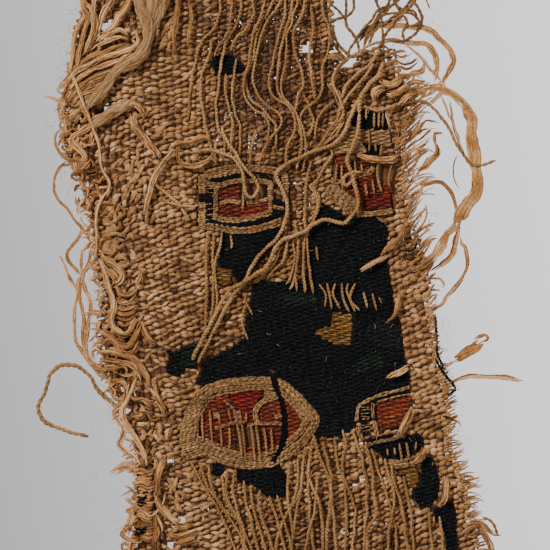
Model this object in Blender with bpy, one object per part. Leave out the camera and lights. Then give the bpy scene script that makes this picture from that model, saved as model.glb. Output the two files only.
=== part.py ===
# A torn fragment of an old linen cloth with a tapestry-woven band, lying flat, face up.
#
# The cloth is one solid: coarse linen ground and tapestry band share their warps. Its torn edges
# are narrow strips of frayed weave, each with the loose yarns that are rooted in it.
# Tables are in millimetres on a drawing grid, x to the right and y up the cloth. GRID_CENTRE is the
# grid point that lands on the origin. The objects are in metres, +Z up, with the underside at z = 0.

import math
import random

import bmesh
import bpy
from mathutils import Vector

MM = 0.001
GRID_CENTRE = Vector((56.58, 55.36))

CLOTH_THICKNESS = 1.6
STRIP_WIDTH = 1.8
PARTING = 0.3
RELIEF_CELL = 2.8
RIM_FOOT = 0.6
RIM_HEIGHT = 2.25
OUTLINE_STEP = 2.4
END_STEP = 1.6
RELIEF_CLEARANCE = 0.35
SILL_RISE = 0.25
YARN = 0.7
WARP_DEPTH = 0.8
LOOSE_YARN_DEPTH = 0.9
YARN_CLEARANCE = 0.95

LINEN = (0.43, 0.26, 0.12)
FRAYED_LINEN = (0.50, 0.30, 0.13)
WARP_LINEN = (0.40, 0.23, 0.10)

# Torn left edge from the bottom up: x, y
LEFT_EDGE = (
    (26.0, -9.0), (25.8, 0.0), (26.4, 6.0), (27.0, 14.0), (27.2, 19.0), (25.0, 24.5),
    (23.0, 29.5), (21.4, 34.0), (19.6, 39.0), (19.0, 44.0), (20.0, 50.0), (19.4, 56.0),
    (18.4, 62.0), (17.6, 68.5), (15.6, 74.0), (13.0, 78.5), (12.2, 84.0), (12.8, 91.0),
    (14.0, 98.0), (14.4, 104.0), (16.2, 110.0), (16.8, 119.0),
)

# Torn right edge from the bottom up, round the top of the short right-hand lobe: x, y
RIGHT_EDGE = (
    (98.0, -9.0), (96.4, 0.0), (94.4, 7.0), (93.2, 14.0), (90.4, 20.5), (90.2, 27.0),
    (89.8, 32.0), (87.6, 39.0), (86.8, 46.0), (86.2, 53.0), (84.8, 60.0), (82.6, 66.0),
    (82.6, 74.0), (82.6, 82.0), (83.2, 89.0), (83.8, 94.5), (81.4, 99.6), (77.0, 101.4),
    (73.4, 100.6),
)

# Side of the tear between the right-hand lobe and the tall left part, from the floor of the tear up
TEAR_EDGE = ((70.2, 98.0), (67.6, 96.4), (66.8, 99.5), (67.0, 106.0), (66.6, 112.0), (66.0, 119.0))

# Plainly torn ends above and below, from left to right: x, y
TOP_EDGE = (
    (18.9, 119.0), (24.0, 120.4), (30.0, 118.8), (37.0, 119.8), (44.0, 118.4), (51.0, 119.8),
    (58.0, 118.6), (66.0, 119.6),
)
BOTTOM_EDGE = (
    (28.3, -9.0), (36.0, -7.8), (45.0, -9.6), (55.0, -8.4), (65.0, -9.8), (76.0, -8.4),
    (86.0, -9.6), (95.4, -8.8),
)

# Soft swells and hollows of the face: centre x, y, reach along x, reach along y, height
SWELLS = (
    (21.0, 44.0, 4.0, 9.0, 0.75),
    (23.0, 31.0, 4.5, 5.0, 0.55),
    (17.5, 84.0, 4.5, 7.0, 0.60),
    (27.5, 98.0, 3.5, 9.0, 0.70),
    (32.0, 84.0, 3.5, 4.5, 0.65),
    (29.0, 10.0, 2.5, 8.0, 0.50),
    (38.0, 66.0, 5.0, 9.0, 0.25),
    (73.0, 86.0, 6.0, 6.0, 0.45),
    (84.0, 52.0, 3.0, 9.0, 0.25),
    (88.0, 30.0, 3.0, 8.0, 0.25),
    (62.0, 50.0, 10.0, 8.0, -0.25),
    (56.0, 10.0, 9.0, 6.0, 0.20),
    (45.0, 105.0, 8.0, 7.0, -0.15),
)

# Raised woven rims of the ornaments: centre x, y, half width, half height, rim width,
# corner power (2 is an oval, more is squarer), tilt in degrees
RIMS = (
    (48.6, 26.0, 12.2, 9.2, 3.0, 2.2, -3.0),
    (48.0, 70.4, 8.6, 6.2, 1.5, 6.0, 3.0),
    (77.0, 27.0, 6.6, 6.0, 1.5, 6.0, 8.0),
    (72.0, 69.0, 6.0, 5.4, 1.8, 4.0, -6.0),
)

# See-through tears that are wider than the weave's own gaps: centre x, y, half width, half height, tilt
TEARS = (
    (21.2, 103.6, 2.3, 0.95, -14.0),
    (61.4, 100.4, 0.6, 2.2, 16.0),
    (32.4, 4.6, 0.7, 2.4, 12.0),
)

# Short ends of torn weft along the edges: lowest y, highest y, heading from +X in degrees, length, step
RIGHT_LOCKS = (
    (-7.0, 3.0, 28.0, 3.4, 1),
    (3.0, 12.0, 25.0, 3.2, 1),
    (12.0, 18.0, 14.0, 2.0, 1),
    (18.0, 36.0, 24.0, 1.6, 1),
    (46.0, 62.0, 30.0, 3.2, 1),
    (62.0, 68.0, 40.0, 6.6, 1),
    (69.0, 73.0, 44.0, 5.2, 1),
    (75.5, 84.0, 46.0, 5.4, 1),
    (85.0, 90.5, 24.0, 2.6, 1),
)
LEFT_LOCKS = (
    (-6.0, 4.0, 200.0, 2.2, 2),
    (5.0, 16.0, 196.0, 1.8, 2),
    (24.0, 34.0, 190.0, 1.8, 2),
    (66.0, 80.0, 214.0, 2.6, 2),
    (82.0, 96.0, 172.0, 1.6, 2),
    (99.0, 116.0, 150.0, 1.8, 2),
)

# Long loose yarns of the right edge: y of the root, width, then the route as x, y, lift off the floor
RIGHT_YARNS = {
    "hank": (91.4, 1.5, ((88.6, 92.2, 0), (91.6, 90.4, 0), (93.8, 87.0, 0), (94.8, 83.0, 0), (95.2, 79.0, 0),
                         (95.6, 75.6, 0), (95.0, 71.6, 0), (92.8, 69.0, 0), (91.2, 66.2, 0), (89.4, 62.8, 0),
                         (88.4, 60.6, 0))),
    "great_loop": (96.4, 0.9, ((85.2, 98.8, 0), (86.6, 101.4, 0), (88.6, 101.6, 0), (90.4, 99.2, 0),
                               (90.8, 96.8, 0), (89.6, 94.4, 0))),
    "rough_end": (87.0, 0.7, ((86.0, 88.6, 0), (88.4, 86.4, 0), (90.4, 83.0, 0), (91.6, 80.2, 0),
                              (93.0, 78.0, 1.4), (94.6, 77.0, 2.0), (97.0, 77.4, 1.4), (99.2, 78.0, 0))),
    "drooping_end": (73.8, 0.8, ((85.6, 73.6, 0), (88.0, 73.4, 0), (89.8, 71.4, 0), (90.4, 69.6, 0))),
    "flat_loop": (35.6, 0.8, ((90.6, 37.4, 0), (92.6, 38.8, 0), (95.0, 40.6, 0), (97.0, 42.4, 0),
                              (97.6, 41.6, 0), (96.6, 40.4, 0), (94.4, 38.6, 0), (92.6, 37.2, 0))),
    "fine_end": (33.0, 0.6, ((90.8, 33.6, 0), (93.0, 34.6, 0), (97.0, 34.8, 0), (101.2, 34.6, 0),
                             (105.4, 34.0, 0))),
    "dark_thread": (44.6, 0.6, ((87.6, 45.4, 0), (88.0, 43.0, 0), (87.9, 41.2, 0))),
    "corner_end": (4.4, 0.8, ((97.0, 6.2, 0), (98.8, 5.0, 0), (99.8, 2.6, 0), (100.4, 0.2, 0))),
}

# Long loose yarns of the left edge, written in the same way
LEFT_YARNS = {
    "great_curl": (28.6, 0.8, ((20.8, 31.4, 0), (18.8, 34.0, 0), (16.6, 36.0, 0), (13.4, 37.0, 0),
                               (11.0, 36.6, 0), (10.0, 34.8, 0), (9.2, 32.0, 0), (8.0, 29.0, 0),
                               (8.4, 26.4, 0), (10.4, 24.8, 0), (14.0, 24.0, 0), (17.6, 23.0, 0))),
    "hanging_bundle": (55.0, 1.4, ((17.0, 52.8, 0), (16.4, 49.4, 0), (17.2, 46.4, 0), (16.4, 43.0, 0),
                                   (17.0, 39.6, 0))),
    "outer_thread": (58.6, 0.7, ((16.6, 58.4, 0), (14.4, 56.8, 0), (13.9, 53.6, 0), (14.8, 49.6, 0),
                                 (14.5, 45.0, 0), (14.7, 41.4, 0), (15.6, 38.6, 0))),
    "side_loop": (79.4, 0.6, ((11.4, 78.0, 0), (10.8, 75.0, 0), (11.4, 71.4, 0), (13.4, 67.6, 0),
                              (15.4, 64.6, 0))),
    "stub": (21.0, 0.8, ((23.6, 16.6, 0), (22.4, 15.4, 0))),
}

# Loose warp yarns over the face, rooted in the top strip: x at the top, then x, y down the cloth
TOP_WARPS = (
    (41.0, ((43.0, 106.0), (41.0, 98.0), (40.6, 88.0), (41.4, 79.0))),
    (45.0, ((46.4, 108.0), (44.4, 99.0), (42.8, 90.0), (43.4, 80.0))),
    (48.0, ((48.6, 108.0), (46.8, 99.0), (46.0, 90.0), (46.8, 79.0))),
    (51.0, ((51.2, 110.0), (50.0, 101.0), (49.6, 92.0), (50.8, 80.0))),
    (54.0, ((53.6, 110.0), (52.4, 101.0), (52.4, 94.0), (54.6, 88.0), (55.6, 78.0))),
    (56.4, ((56.4, 108.0), (54.6, 100.0), (54.8, 94.0), (57.4, 87.0), (58.6, 76.0))),
    (59.0, ((58.6, 110.0), (57.4, 102.0), (57.0, 95.0), (60.0, 87.0), (61.2, 74.0), (61.8, 62.0))),
    (62.0, ((61.4, 110.0), (60.0, 103.0), (59.8, 96.0), (63.0, 87.6), (64.0, 76.0), (64.4, 60.0))),
)

# Loose warp yarns over the lower face, rooted in the bottom strip: x at the bottom, then x, y up it
BOTTOM_WARPS = (
    (47.0, ((44.4, 2.0), (41.6, 9.0), (38.8, 15.4))),
    (50.6, ((48.4, 2.0), (45.4, 10.0), (43.6, 14.6))),
    (55.6, ((54.6, 2.0), (54.8, 8.0), (56.2, 14.0))),
    (61.0, ((59.6, 3.0), (58.6, 10.0), (59.4, 17.0))),
    (67.0, ((65.8, 2.0), (64.0, 9.0), (61.4, 18.0))),
    (71.0, ((69.8, 2.0), (68.6, 9.0), (66.6, 18.6))),
    (75.0, ((73.6, 2.0), (72.6, 9.0), (70.6, 19.0))),
    (80.0, ((78.4, 2.0), (77.0, 8.0), (74.8, 15.4))),
)

# Loose warp ends beyond the torn top and bottom: first x, last x, mean length
TOP_ENDS = (20.0, 64.0, 5.0)
BOTTOM_ENDS = (30.0, 94.0, 5.0)

# Loose warp ends that stand up from the top of the right-hand lobe: root x, width, route
LOBE_YARNS = {
    "inner": (74.4, 0.7, ((74.6, 103.2, 0), (75.8, 106.6, 0), (75.0, 110.8, 0), (77.0, 115.0, 0))),
    "outer": (77.4, 0.8, ((78.4, 103.6, 0), (80.6, 106.6, 0), (82.6, 109.4, 0), (83.4, 113.6, 0),
                          (82.4, 116.6, 0))),
}


def clear_scene():
    for old in list(bpy.data.objects):
        bpy.data.objects.remove(old)


def material(name, colour, roughness=0.9):
    made = bpy.data.materials.new(name)
    made.use_nodes = True
    shader = made.node_tree.nodes["Principled BSDF"]
    shader.inputs["Base Color"].default_value = (*colour, 1.0)
    shader.inputs["Roughness"].default_value = roughness
    shader.inputs["Metallic"].default_value = 0.0
    made.diffuse_color = (*colour, 1.0)
    return made


def placed(x, y, z):
    """A point of the drawing grid, in metres from the origin."""
    return Vector(((x - GRID_CENTRE.x) * MM, (y - GRID_CENTRE.y) * MM, z * MM))


def add_object(name, bm, made_of, collection):
    bmesh.ops.recalc_face_normals(bm, faces=bm.faces)
    mesh = bpy.data.meshes.new(name)
    bm.to_mesh(mesh)
    bm.free()
    obj = bpy.data.objects.new(name, mesh)
    if made_of:
        mesh.materials.append(made_of)
    collection.objects.link(obj)
    return obj


def resampled(points, step):
    """The same line with evenly spaced points about a step apart."""
    points = [Vector(p) for p in points]
    lengths = [0.0]
    for a, b in zip(points, points[1:]):
        lengths.append(lengths[-1] + (b - a).length)
    count = max(1, round(lengths[-1] / step))
    out = []
    span = 0
    for k in range(count + 1):
        want = lengths[-1] * k / count
        while span < len(points) - 2 and lengths[span + 1] < want:
            span += 1
        share = (want - lengths[span]) / max(lengths[span + 1] - lengths[span], 1e-9)
        out.append(points[span].lerp(points[span + 1], min(1.0, share)))
    return out


def smoothed(points, steps):
    """A Catmull-Rom curve through the points, with a number of steps for each span."""
    points = [Vector(p) for p in points]
    ends = [points[0] * 2 - points[1], *points, points[-1] * 2 - points[-2]]
    out = []
    for a, b, c, d in zip(ends, ends[1:], ends[2:], ends[3:]):
        for k in range(steps):
            t = k / steps
            out.append(0.5 * (2 * b + (c - a) * t + (2 * a - 5 * b + 4 * c - d) * t * t
                              + (3 * b - a - 3 * c + d) * t * t * t))
    out.append(points[-1])
    return out


def shifted(points, distance):
    """The line moved sideways: to its left for a positive distance."""
    out = []
    for k, point in enumerate(points):
        along = (points[min(k + 1, len(points) - 1)] - points[max(k - 1, 0)]).normalized()
        out.append(point + Vector((-along.y, along.x)) * distance)
    return out


def face_height(x, y):
    """Height of the cloth's face above the table, without the ornaments' rims."""
    height = CLOTH_THICKNESS + 0.10 * math.sin(x / 3.7 + y / 9.0) * math.sin(y / 5.3)
    for cx, cy, reach_x, reach_y, rise in SWELLS:
        height += rise * math.exp(-((x - cx) / reach_x) ** 2 - ((y - cy) / reach_y) ** 2)
    return height


def cloth_outline():
    """The cloth's own edge, inside the strips of frayed weave, anticlockwise from the bottom left."""
    inset = STRIP_WIDTH + PARTING
    right = shifted(resampled(RIGHT_EDGE, OUTLINE_STEP), inset)
    left = shifted(resampled(LEFT_EDGE, OUTLINE_STEP), -inset)
    bottom = shifted(resampled(BOTTOM_EDGE, OUTLINE_STEP), inset)
    top = shifted(resampled(TOP_EDGE, OUTLINE_STEP), -inset)
    right = [p for p in right if p.y > bottom[-1].y + PARTING]
    left = [p for p in left if bottom[0].y + PARTING < p.y < top[0].y - PARTING]
    tear = [Vector(p) for p in TEAR_EDGE if p[1] < top[-1].y - PARTING]
    return [*bottom, *right, *tear, *reversed(top), *reversed(left)]


def ellipse(cx, cy, half_width, half_height, tilt, power, count):
    """A closed oval, squarer for a larger power."""
    turn = math.radians(tilt)
    out = []
    for k in range(count):
        angle = math.tau * k / count
        u = half_width * math.copysign(abs(math.cos(angle)) ** (2 / power), math.cos(angle))
        v = half_height * math.copysign(abs(math.sin(angle)) ** (2 / power), math.sin(angle))
        out.append(Vector((cx + u * math.cos(turn) - v * math.sin(turn),
                           cy + u * math.sin(turn) + v * math.cos(turn))))
    return out


def flat_prism(name, outlines, low, high, collection):
    """A mesh prism from flat outlines: the first is the edge and the others are holes in it."""
    data = bpy.data.curves.new(name, "CURVE")
    data.dimensions = "2D"
    data.fill_mode = "BOTH"
    data.extrude = (high - low) / 2 * MM
    for outline in outlines:
        line = data.splines.new("POLY")
        line.use_cyclic_u = True
        line.points.add(len(outline) - 1)
        for point, spot in zip(line.points, outline):
            point.co = (*placed(spot.x, spot.y, 0.0).xy, 0.0, 1.0)
    curve = bpy.data.objects.new(name + "_curve", data)
    curve.location.z = (low + high) / 2 * MM
    collection.objects.link(curve)
    bpy.context.view_layer.update()
    evaluated = curve.evaluated_get(bpy.context.evaluated_depsgraph_get())
    mesh = bpy.data.meshes.new_from_object(evaluated)
    mesh.transform(curve.matrix_world)
    bpy.data.objects.remove(curve)
    bm = bmesh.new()
    bm.from_mesh(mesh)
    bmesh.ops.remove_doubles(bm, verts=bm.verts, dist=1e-6)
    return add_object(name, bm, None, collection)


def combine(obj, other, operation):
    modifier = obj.modifiers.new(other.name, "BOOLEAN")
    modifier.operation = operation
    modifier.object = other
    other.hide_render = True
    other.display_type = "WIRE"


def make_cloth(parts, cutters):
    """A relief block trimmed to the torn outline, with the ornaments' woven rims standing on it."""
    outline = cloth_outline()
    low = Vector((min(p.x for p in outline) - 1, min(p.y for p in outline) - 1))
    high = Vector((max(p.x for p in outline) + 1, max(p.y for p in outline) + 1))
    columns = round((high.x - low.x) / RELIEF_CELL)
    rows = round((high.y - low.y) / RELIEF_CELL)
    bm = bmesh.new()
    bmesh.ops.create_grid(bm, x_segments=columns, y_segments=rows, size=0.5)
    for vertex in bm.verts:
        x = low.x + (high.x - low.x) * (vertex.co.x + 0.5)
        y = low.y + (high.y - low.y) * (vertex.co.y + 0.5)
        vertex.co = placed(x, y, face_height(x, y))
    grown = bmesh.ops.extrude_face_region(bm, geom=list(bm.faces))["geom"]
    base = [g for g in grown if isinstance(g, bmesh.types.BMFace)]
    for vertex in {v for face in base for v in face.verts}:
        vertex.co.z = 0.0
    bmesh.ops.dissolve_faces(bm, faces=base)
    cloth = add_object("ground_cloth", bm, material("linen_ground", LINEN), parts)

    tears = [ellipse(x, y, wide, tall, tilt, 2.0, 8) for x, y, wide, tall, tilt in TEARS]
    combine(cloth, flat_prism("torn_outline", [outline, *tears], -1.0, 6.0, cutters), "INTERSECT")
    for k, (x, y, wide, tall, rim, power, tilt) in enumerate(RIMS):
        edge = ellipse(x, y, wide, tall, tilt, power, 24)
        inner = ellipse(x, y, wide - rim, tall - rim, tilt, power, 16)
        ring = flat_prism(f"rim_{k}", [edge, inner], RIM_FOOT, RIM_HEIGHT, cutters)
        combine(cloth, ring, "UNION")
    return cloth


class Strip:
    """A narrow strip of frayed weave along a line, from whose side faces loose yarns grow."""

    def __init__(self, outer, inner, levels):
        self.bm = bmesh.new()
        self.used = set()
        self.laid = []
        count = len(outer) - 1
        bmesh.ops.create_grid(self.bm, x_segments=1, y_segments=count, size=0.5)
        for vertex in self.bm.verts:
            row = round((vertex.co.y + 0.5) * count)
            spot = (outer if vertex.co.x > 0 else inner)[row]
            vertex.co = placed(spot.x, spot.y, 0.0)
        top = list(self.bm.faces)
        for tier, level in enumerate(levels):
            under = top
            grown = bmesh.ops.extrude_face_region(self.bm, geom=under)["geom"]
            top = [g for g in grown if isinstance(g, bmesh.types.BMFace)]
            for vertex in {v for face in top for v in face.verts}:
                vertex.co.z = level * MM
            if tier:
                bmesh.ops.delete(self.bm, geom=under, context="FACES_ONLY")
        bmesh.ops.recalc_face_normals(self.bm, faces=self.bm.faces)
        self.bm.normal_update()
        self.sides = [f for f in self.bm.faces if abs(f.normal.z) < 0.5]

    def root(self, spot, facing, height):
        """The free side face nearest to a grid point that faces that way, or None."""
        near = placed(spot[0], spot[1], height)
        free = [f for f in self.sides if f not in self.used and f.normal.xy.dot(facing) > 0.2]
        found = min(free, key=lambda f: (f.calc_center_median() - near).length, default=None)
        if found is not None:
            self.used.add(found)
        return found

    def is_clear(self, spots):
        """Whether a line keeps clear of the yarns that are already there."""
        line = resampled(spots, 0.5)
        return all((a - b).length > YARN_CLEARANCE for a in line for b in self.laid)

    def grow(self, face, route, width, thick, tip=0.5):
        """A four-sided yarn from a side face along a route of x, y and height of its underside."""
        centre = face.calc_center_median()
        side = Vector((-face.normal.y, face.normal.x, 0.0))
        line = [placed(x, y, max(z, 0.0)) for x, y, z in route]
        previous = centre.copy()
        root = centre.xy / MM + GRID_CENTRE
        self.laid.extend(resampled([root, *((x, y) for x, y, z in route)], 0.5))
        for k, spot in enumerate(line):
            grown = bmesh.ops.extrude_discrete_faces(self.bm, faces=[face])
            face = grown["faces"][0]
            after = line[min(k + 1, len(line) - 1)]
            along = (after - previous).xy.normalized()
            new_side = Vector((-along.y, along.x, 0.0))
            taper = 1.0 - (1.0 - tip) * (k + 1) / len(line)
            for vertex in face.verts:
                offset = vertex.co - centre
                across = math.copysign(width * taper / 2 * MM, offset.dot(side))
                up = thick * (0.6 + 0.4 * taper) * MM if offset.z > 0 else 0.0
                vertex.co = spot + new_side * across + Vector((0.0, 0.0, up))
            previous, centre, side = spot, face.calc_center_median(), new_side

    def finish(self, name, made_of, collection):
        return add_object(name, self.bm, made_of, collection)


def short_locks(strip, edge, zones, facing, spread, seed):
    """Short torn weft ends, one from each side face or each second one in a zone."""
    chance = random.Random(seed)
    for low, high, heading, length, step in zones:
        roots = [p for p in edge if low <= p.y <= high][::step]
        for point in roots:
            face = strip.root(point, facing, CLOTH_THICKNESS / 2)
            if face is None:
                continue
            base = face.calc_center_median().xy / MM + GRID_CENTRE
            reach = length * chance.uniform(0.65, 1.1)
            turn = math.radians(heading + chance.uniform(-spread, spread))
            first = base + face.normal.xy.normalized() * 0.5
            ahead = Vector((math.cos(turn), math.sin(turn)))
            spots = [first, first + ahead * reach * 0.5, first + ahead * reach]
            if not strip.is_clear(spots):
                continue
            strip.grow(face, [(p.x, p.y, 0.0) for p in spots], YARN, WARP_DEPTH)


def long_yarns(strip, edge, table, facing, steps=2):
    """The loose yarns of a table, each from the side face nearest to the height of its root."""
    for root_y, width, route in table.values():
        anchor = min(edge, key=lambda p: abs(p.y - root_y))
        face = strip.root(anchor, facing, CLOTH_THICKNESS / 2)
        strip.grow(face, smoothed(route, steps), width, LOOSE_YARN_DEPTH)


def make_side_strip(name, edge_table, side, locks, yarns, spacing, seed, made_of, parts):
    """The frayed strip of the left edge (side -1) or the right edge (side 1) with its loose yarns."""
    edge = resampled(edge_table, spacing)
    inner = shifted(edge, side * STRIP_WIDTH)
    strip = Strip(edge, inner, (CLOTH_THICKNESS,))
    facing = Vector((side, 0.0))
    long_yarns(strip, edge, yarns, facing)
    if side > 0:
        for root_x, width, route in LOBE_YARNS.values():
            anchor = min((p for p in edge if p.y > 98), key=lambda p: abs(p.x - root_x))
            face = strip.root(anchor, Vector((0.0, 1.0)), CLOTH_THICKNESS / 2)
            strip.grow(face, smoothed(route, 2), width, LOOSE_YARN_DEPTH)
    short_locks(strip, edge, locks, facing, 3.0, seed)
    return strip.finish(name, made_of, parts)


def make_end_strip(name, edge_table, outward, warps, ends, seed, made_of, parts):
    """The torn top or bottom: warp ends stick out of it and loose warps lie back over the face."""
    chance = random.Random(seed)
    first, last, mean_length = ends
    sill = CLOTH_THICKNESS + RELIEF_CLEARANCE + SILL_RISE
    outer = resampled(edge_table, END_STEP)
    inner = shifted(outer, -outward * STRIP_WIDTH)
    strip = Strip(outer, inner, (sill, sill + WARP_DEPTH))
    for root_x, route in warps:
        anchor = min(inner, key=lambda p: abs(p.x - root_x))
        face = strip.root(anchor, Vector((0.0, -outward)), sill + WARP_DEPTH / 2)
        path = smoothed([(root_x, anchor.y - outward * 1.6), *route], 3)
        lifted = [(p.x, p.y, face_height(p.x, p.y) + RELIEF_CLEARANCE) for p in path]
        strip.grow(face, lifted, YARN, YARN)
    for point in outer[1::2]:
        if not first <= point.x <= last:
            continue
        face = strip.root(point, Vector((0.0, outward)), sill / 2)
        reach = mean_length * chance.uniform(0.6, 1.15)
        lean = chance.uniform(-0.35, 0.35)
        y = point.y + outward * 0.5
        x = face.calc_center_median().x / MM + GRID_CENTRE.x
        spots = [(x, y), (x + lean * 0.5, y + outward * reach * 0.5), (x + lean, y + outward * reach)]
        strip.grow(face, [(a, b, 0.0) for a, b in spots], YARN, WARP_DEPTH)
    return strip.finish(name, made_of, parts)


def collection(name):
    made = bpy.data.collections.new(name)
    bpy.context.scene.collection.children.link(made)
    return made


def main():
    clear_scene()
    parts = collection("textile_fragment")
    cutters = collection("cutters")
    cutters.hide_render = True
    frayed = material("frayed_linen", FRAYED_LINEN)
    warp = material("warp_linen", WARP_LINEN)
    make_cloth(parts, cutters)
    make_side_strip("left_fray", LEFT_EDGE, -1, LEFT_LOCKS, LEFT_YARNS, 1.7, 3, frayed, parts)
    make_side_strip("right_fray", RIGHT_EDGE, 1, RIGHT_LOCKS, RIGHT_YARNS, 1.5, 5, frayed, parts)
    make_end_strip("top_fray", TOP_EDGE, 1, TOP_WARPS, TOP_ENDS, 7, warp, parts)
    make_end_strip("bottom_fray", BOTTOM_EDGE, -1, BOTTOM_WARPS, BOTTOM_ENDS, 9, warp, parts)


main()
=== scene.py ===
# Looks of a torn fragment of old linen cloth with a woven-in tapestry band, lying face up.
# Lengths are millimetres on the drawing grid of the part's source, x to the right and y up the cloth,
# until a piece is made. The first number of a drift, and sums like 300 + 10 * k, are seeds that make each
# yarn wander in its own way.

import math

import bpy
import numpy as np
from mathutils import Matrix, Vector


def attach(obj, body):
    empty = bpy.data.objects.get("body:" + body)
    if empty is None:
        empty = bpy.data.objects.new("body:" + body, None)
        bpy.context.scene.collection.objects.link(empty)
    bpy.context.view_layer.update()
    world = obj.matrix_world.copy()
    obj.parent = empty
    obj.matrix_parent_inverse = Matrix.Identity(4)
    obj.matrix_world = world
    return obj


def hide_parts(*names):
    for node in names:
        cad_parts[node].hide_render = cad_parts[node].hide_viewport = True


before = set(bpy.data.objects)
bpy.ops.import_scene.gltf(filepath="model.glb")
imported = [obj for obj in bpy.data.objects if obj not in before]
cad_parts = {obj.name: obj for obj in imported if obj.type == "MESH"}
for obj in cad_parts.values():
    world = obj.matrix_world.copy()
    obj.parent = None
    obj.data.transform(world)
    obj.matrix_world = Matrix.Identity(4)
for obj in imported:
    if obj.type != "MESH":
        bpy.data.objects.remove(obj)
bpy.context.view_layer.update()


# Ground warps
# The linen warps of the cloth, hand-spun, in flat groups laid side by side, darker under the weft as
# painted shade. The weft hides them in the close weave, and light comes through between them where the weft
# is thin.

MM = 0.001
# The grid point that lies over the middle of the part
GRID_CENTRE = np.array((56.58, 55.36, 0.0))
CLOTH_FOOT, CLOTH_HEAD = -8.6, 118.6
# From one warp group to the next, and where the first and the last can stand before they lean
WARP_PITCH = 1.46
FIRST_WARP, LAST_WARP = 10.5, 90.0
WARP_HALF_DEPTH = 0.16
# Height of the middle of the cloth
MID_HEIGHT = 0.86
# The tear beside the lobe: its foot, the lobe's head, and the height past which only the cloth goes on
TEAR_FOOT, LOBE_HEAD, LOBE_END = 96.4, 101.0, 100.0

LEFT_EDGE = (
    (26, -9), (25.8, 0), (26.4, 6), (27, 14), (27.2, 19), (25, 24.5), (23, 29.5), (21.4, 34), (19.6, 39),
    (19, 44), (20, 50), (19.4, 56), (18.4, 62), (17.6, 68.5), (15.6, 74), (13, 78.5), (12.2, 84),
    (12.8, 91), (14, 98), (14.4, 104), (16.2, 110), (16.8, 119),
)
RIGHT_EDGE = (
    (98, -9), (96.4, 0), (94.4, 7), (93.2, 14), (90.4, 20.5), (90.2, 27), (89.8, 32), (87.6, 39),
    (86.8, 46), (86.2, 53), (84.8, 60), (82.8, 66), (82, 72), (81.4, 78), (81.4, 82), (82, 86), (82.6, 89),
    (82.4, 91.6), (80.8, 94.2), (79.8, 97), (79.6, 99.6), (77, 101.4),
)
LOBE_LEFT = ((70.2, 97.0), (72.0, 99.6), (77.0, 101.4))
TEAR_SIDE = ((68.6, 96.4), (66.8, 99.5), (67.0, 106.0), (66.6, 112.0), (66.0, 119.0))

# How far the warps have moved sideways at each height
LEAN = ((12.4, -9.0), (11.6, 8.0), (10.0, 24.0), (6.6, 42.0), (2.6, 60.0), (0.4, 78.0), (0.0, 119.0))

# Soft swells and hollows of the cloth: x, y, reach along x, reach along y, height
SWELLS = (
    (21, 44, 4, 9, 0.75), (23, 31, 4.5, 5, 0.55), (17.5, 84, 4.5, 7, 0.6), (27.5, 98, 3.5, 9, 0.7),
    (32, 84, 3.5, 4.5, 0.65), (29, 10, 2.5, 8, 0.5), (38, 66, 5, 9, 0.25), (73, 86, 6, 6, 0.45),
    (84, 52, 3, 9, 0.25), (88, 30, 3, 8, 0.25), (56, 10, 9, 6, 0.2),
)

# Where light comes through between the warps: x, y, reach along x, reach along y, how much
LIT = (
    (45, 93.2, 2.5, 0.8, 0.5), (46, 86.4, 3, 1.2, 0.55), (54.6, 94.6, 3.6, 2.4, 0.25),
    (53.2, 87, 0.8, 1, 0.4), (60.2, 68.6, 1.8, 4.4, 0.8), (82, 74, 2.8, 14, 0.5), (84, 92, 5, 7, 0.2),
    (56, 5, 18, 8, 0.1), (52, 106, 10, 4, 0.12), (28, 70, 3, 12, 0.05), (51, 96, 9, 13, 0.1),
    (50, 104, 5, 5, 0.15), (53.5, 105.5, 2, 2, 0.25), (46, 102, 3, 3, 0.2), (44, 81.5, 2, 2, 0.3),
    (50, 82, 3, 2, 0.2), (46.2, 93.2, 3, 0.7, 0.5), (38, 8, 8, 5, 0.06),
)

# Small holes right through the cloth: x, y, half width, half height
HOLES = (
    (21.8, 104.4, 1.7, 1), (21.4, 102.6, 1, 0.5), (61.3, 100.4, 0.8, 1.7), (25, 28, 0.9, 0.6),
    (24, 32.3, 1, 0.5), (27, 22, 0.7, 2.4), (33.1, 2.3, 0.5, 1), (34.2, 1, 0.8, 0.5), (34.4, 18, 0.5, 0.6),
    (36.7, 6.2, 0.5, 0.5), (41.6, 13.6, 0.3, 0.4), (43.6, 11.6, 0.3, 0.3), (17.4, 89.2, 0.5, 0.6),
    (25.2, 83, 0.36, 0.34), (27.1, 82.2, 0.36, 0.34), (28.9, 84.3, 0.3, 0.36), (21.2, 88.3, 0.25, 0.6),
    (24.2, 81.7, 0.28, 0.26), (72.2, 21.1, 0.32, 0.28), (72.4, 14, 0.34, 0.26), (71.2, 12.8, 0.32, 0.3),
    (91.6, 14.7, 0.34, 0.32), (92.6, 10.2, 0.32, 0.26), (93.6, 7.8, 0.3, 0.3), (75.1, 8.3, 0.26, 0.24),
)


def at_height(table, y):
    """The x of a table of x, y points at a height."""
    rows = sorted(table, key=lambda p: p[1])
    return np.interp(y, [p[1] for p in rows], [p[0] for p in rows])


def blobs(table, x, y):
    """The sum of soft round spots: x, y, reach along x, reach along y, amount."""
    total = np.zeros(np.broadcast(x, y).shape)
    for cx, cy, reach_x, reach_y, amount in table:
        total = total + amount * np.exp(-((x - cx) / reach_x) ** 2 - ((y - cy) / reach_y) ** 2)
    return total


# Waves laid over one another in each drift, and the height that they seldom pass together
DRIFT_WAVES = 6
DRIFT_PEAK = 2.6


def drift(seed, x, y, reach):
    """Smooth irregular values of about -1 to 1 that change over a reach in millimetres."""
    chance = np.random.default_rng(seed)
    total = 0.0
    for _ in range(DRIFT_WAVES):
        heading, phase = chance.uniform(0, math.tau, 2)
        wave = reach * chance.uniform(0.6, 1.7)
        total = total + np.sin((x * math.cos(heading) + y * math.sin(heading)) * math.tau / wave + phase)
    return total / DRIFT_PEAK


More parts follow.
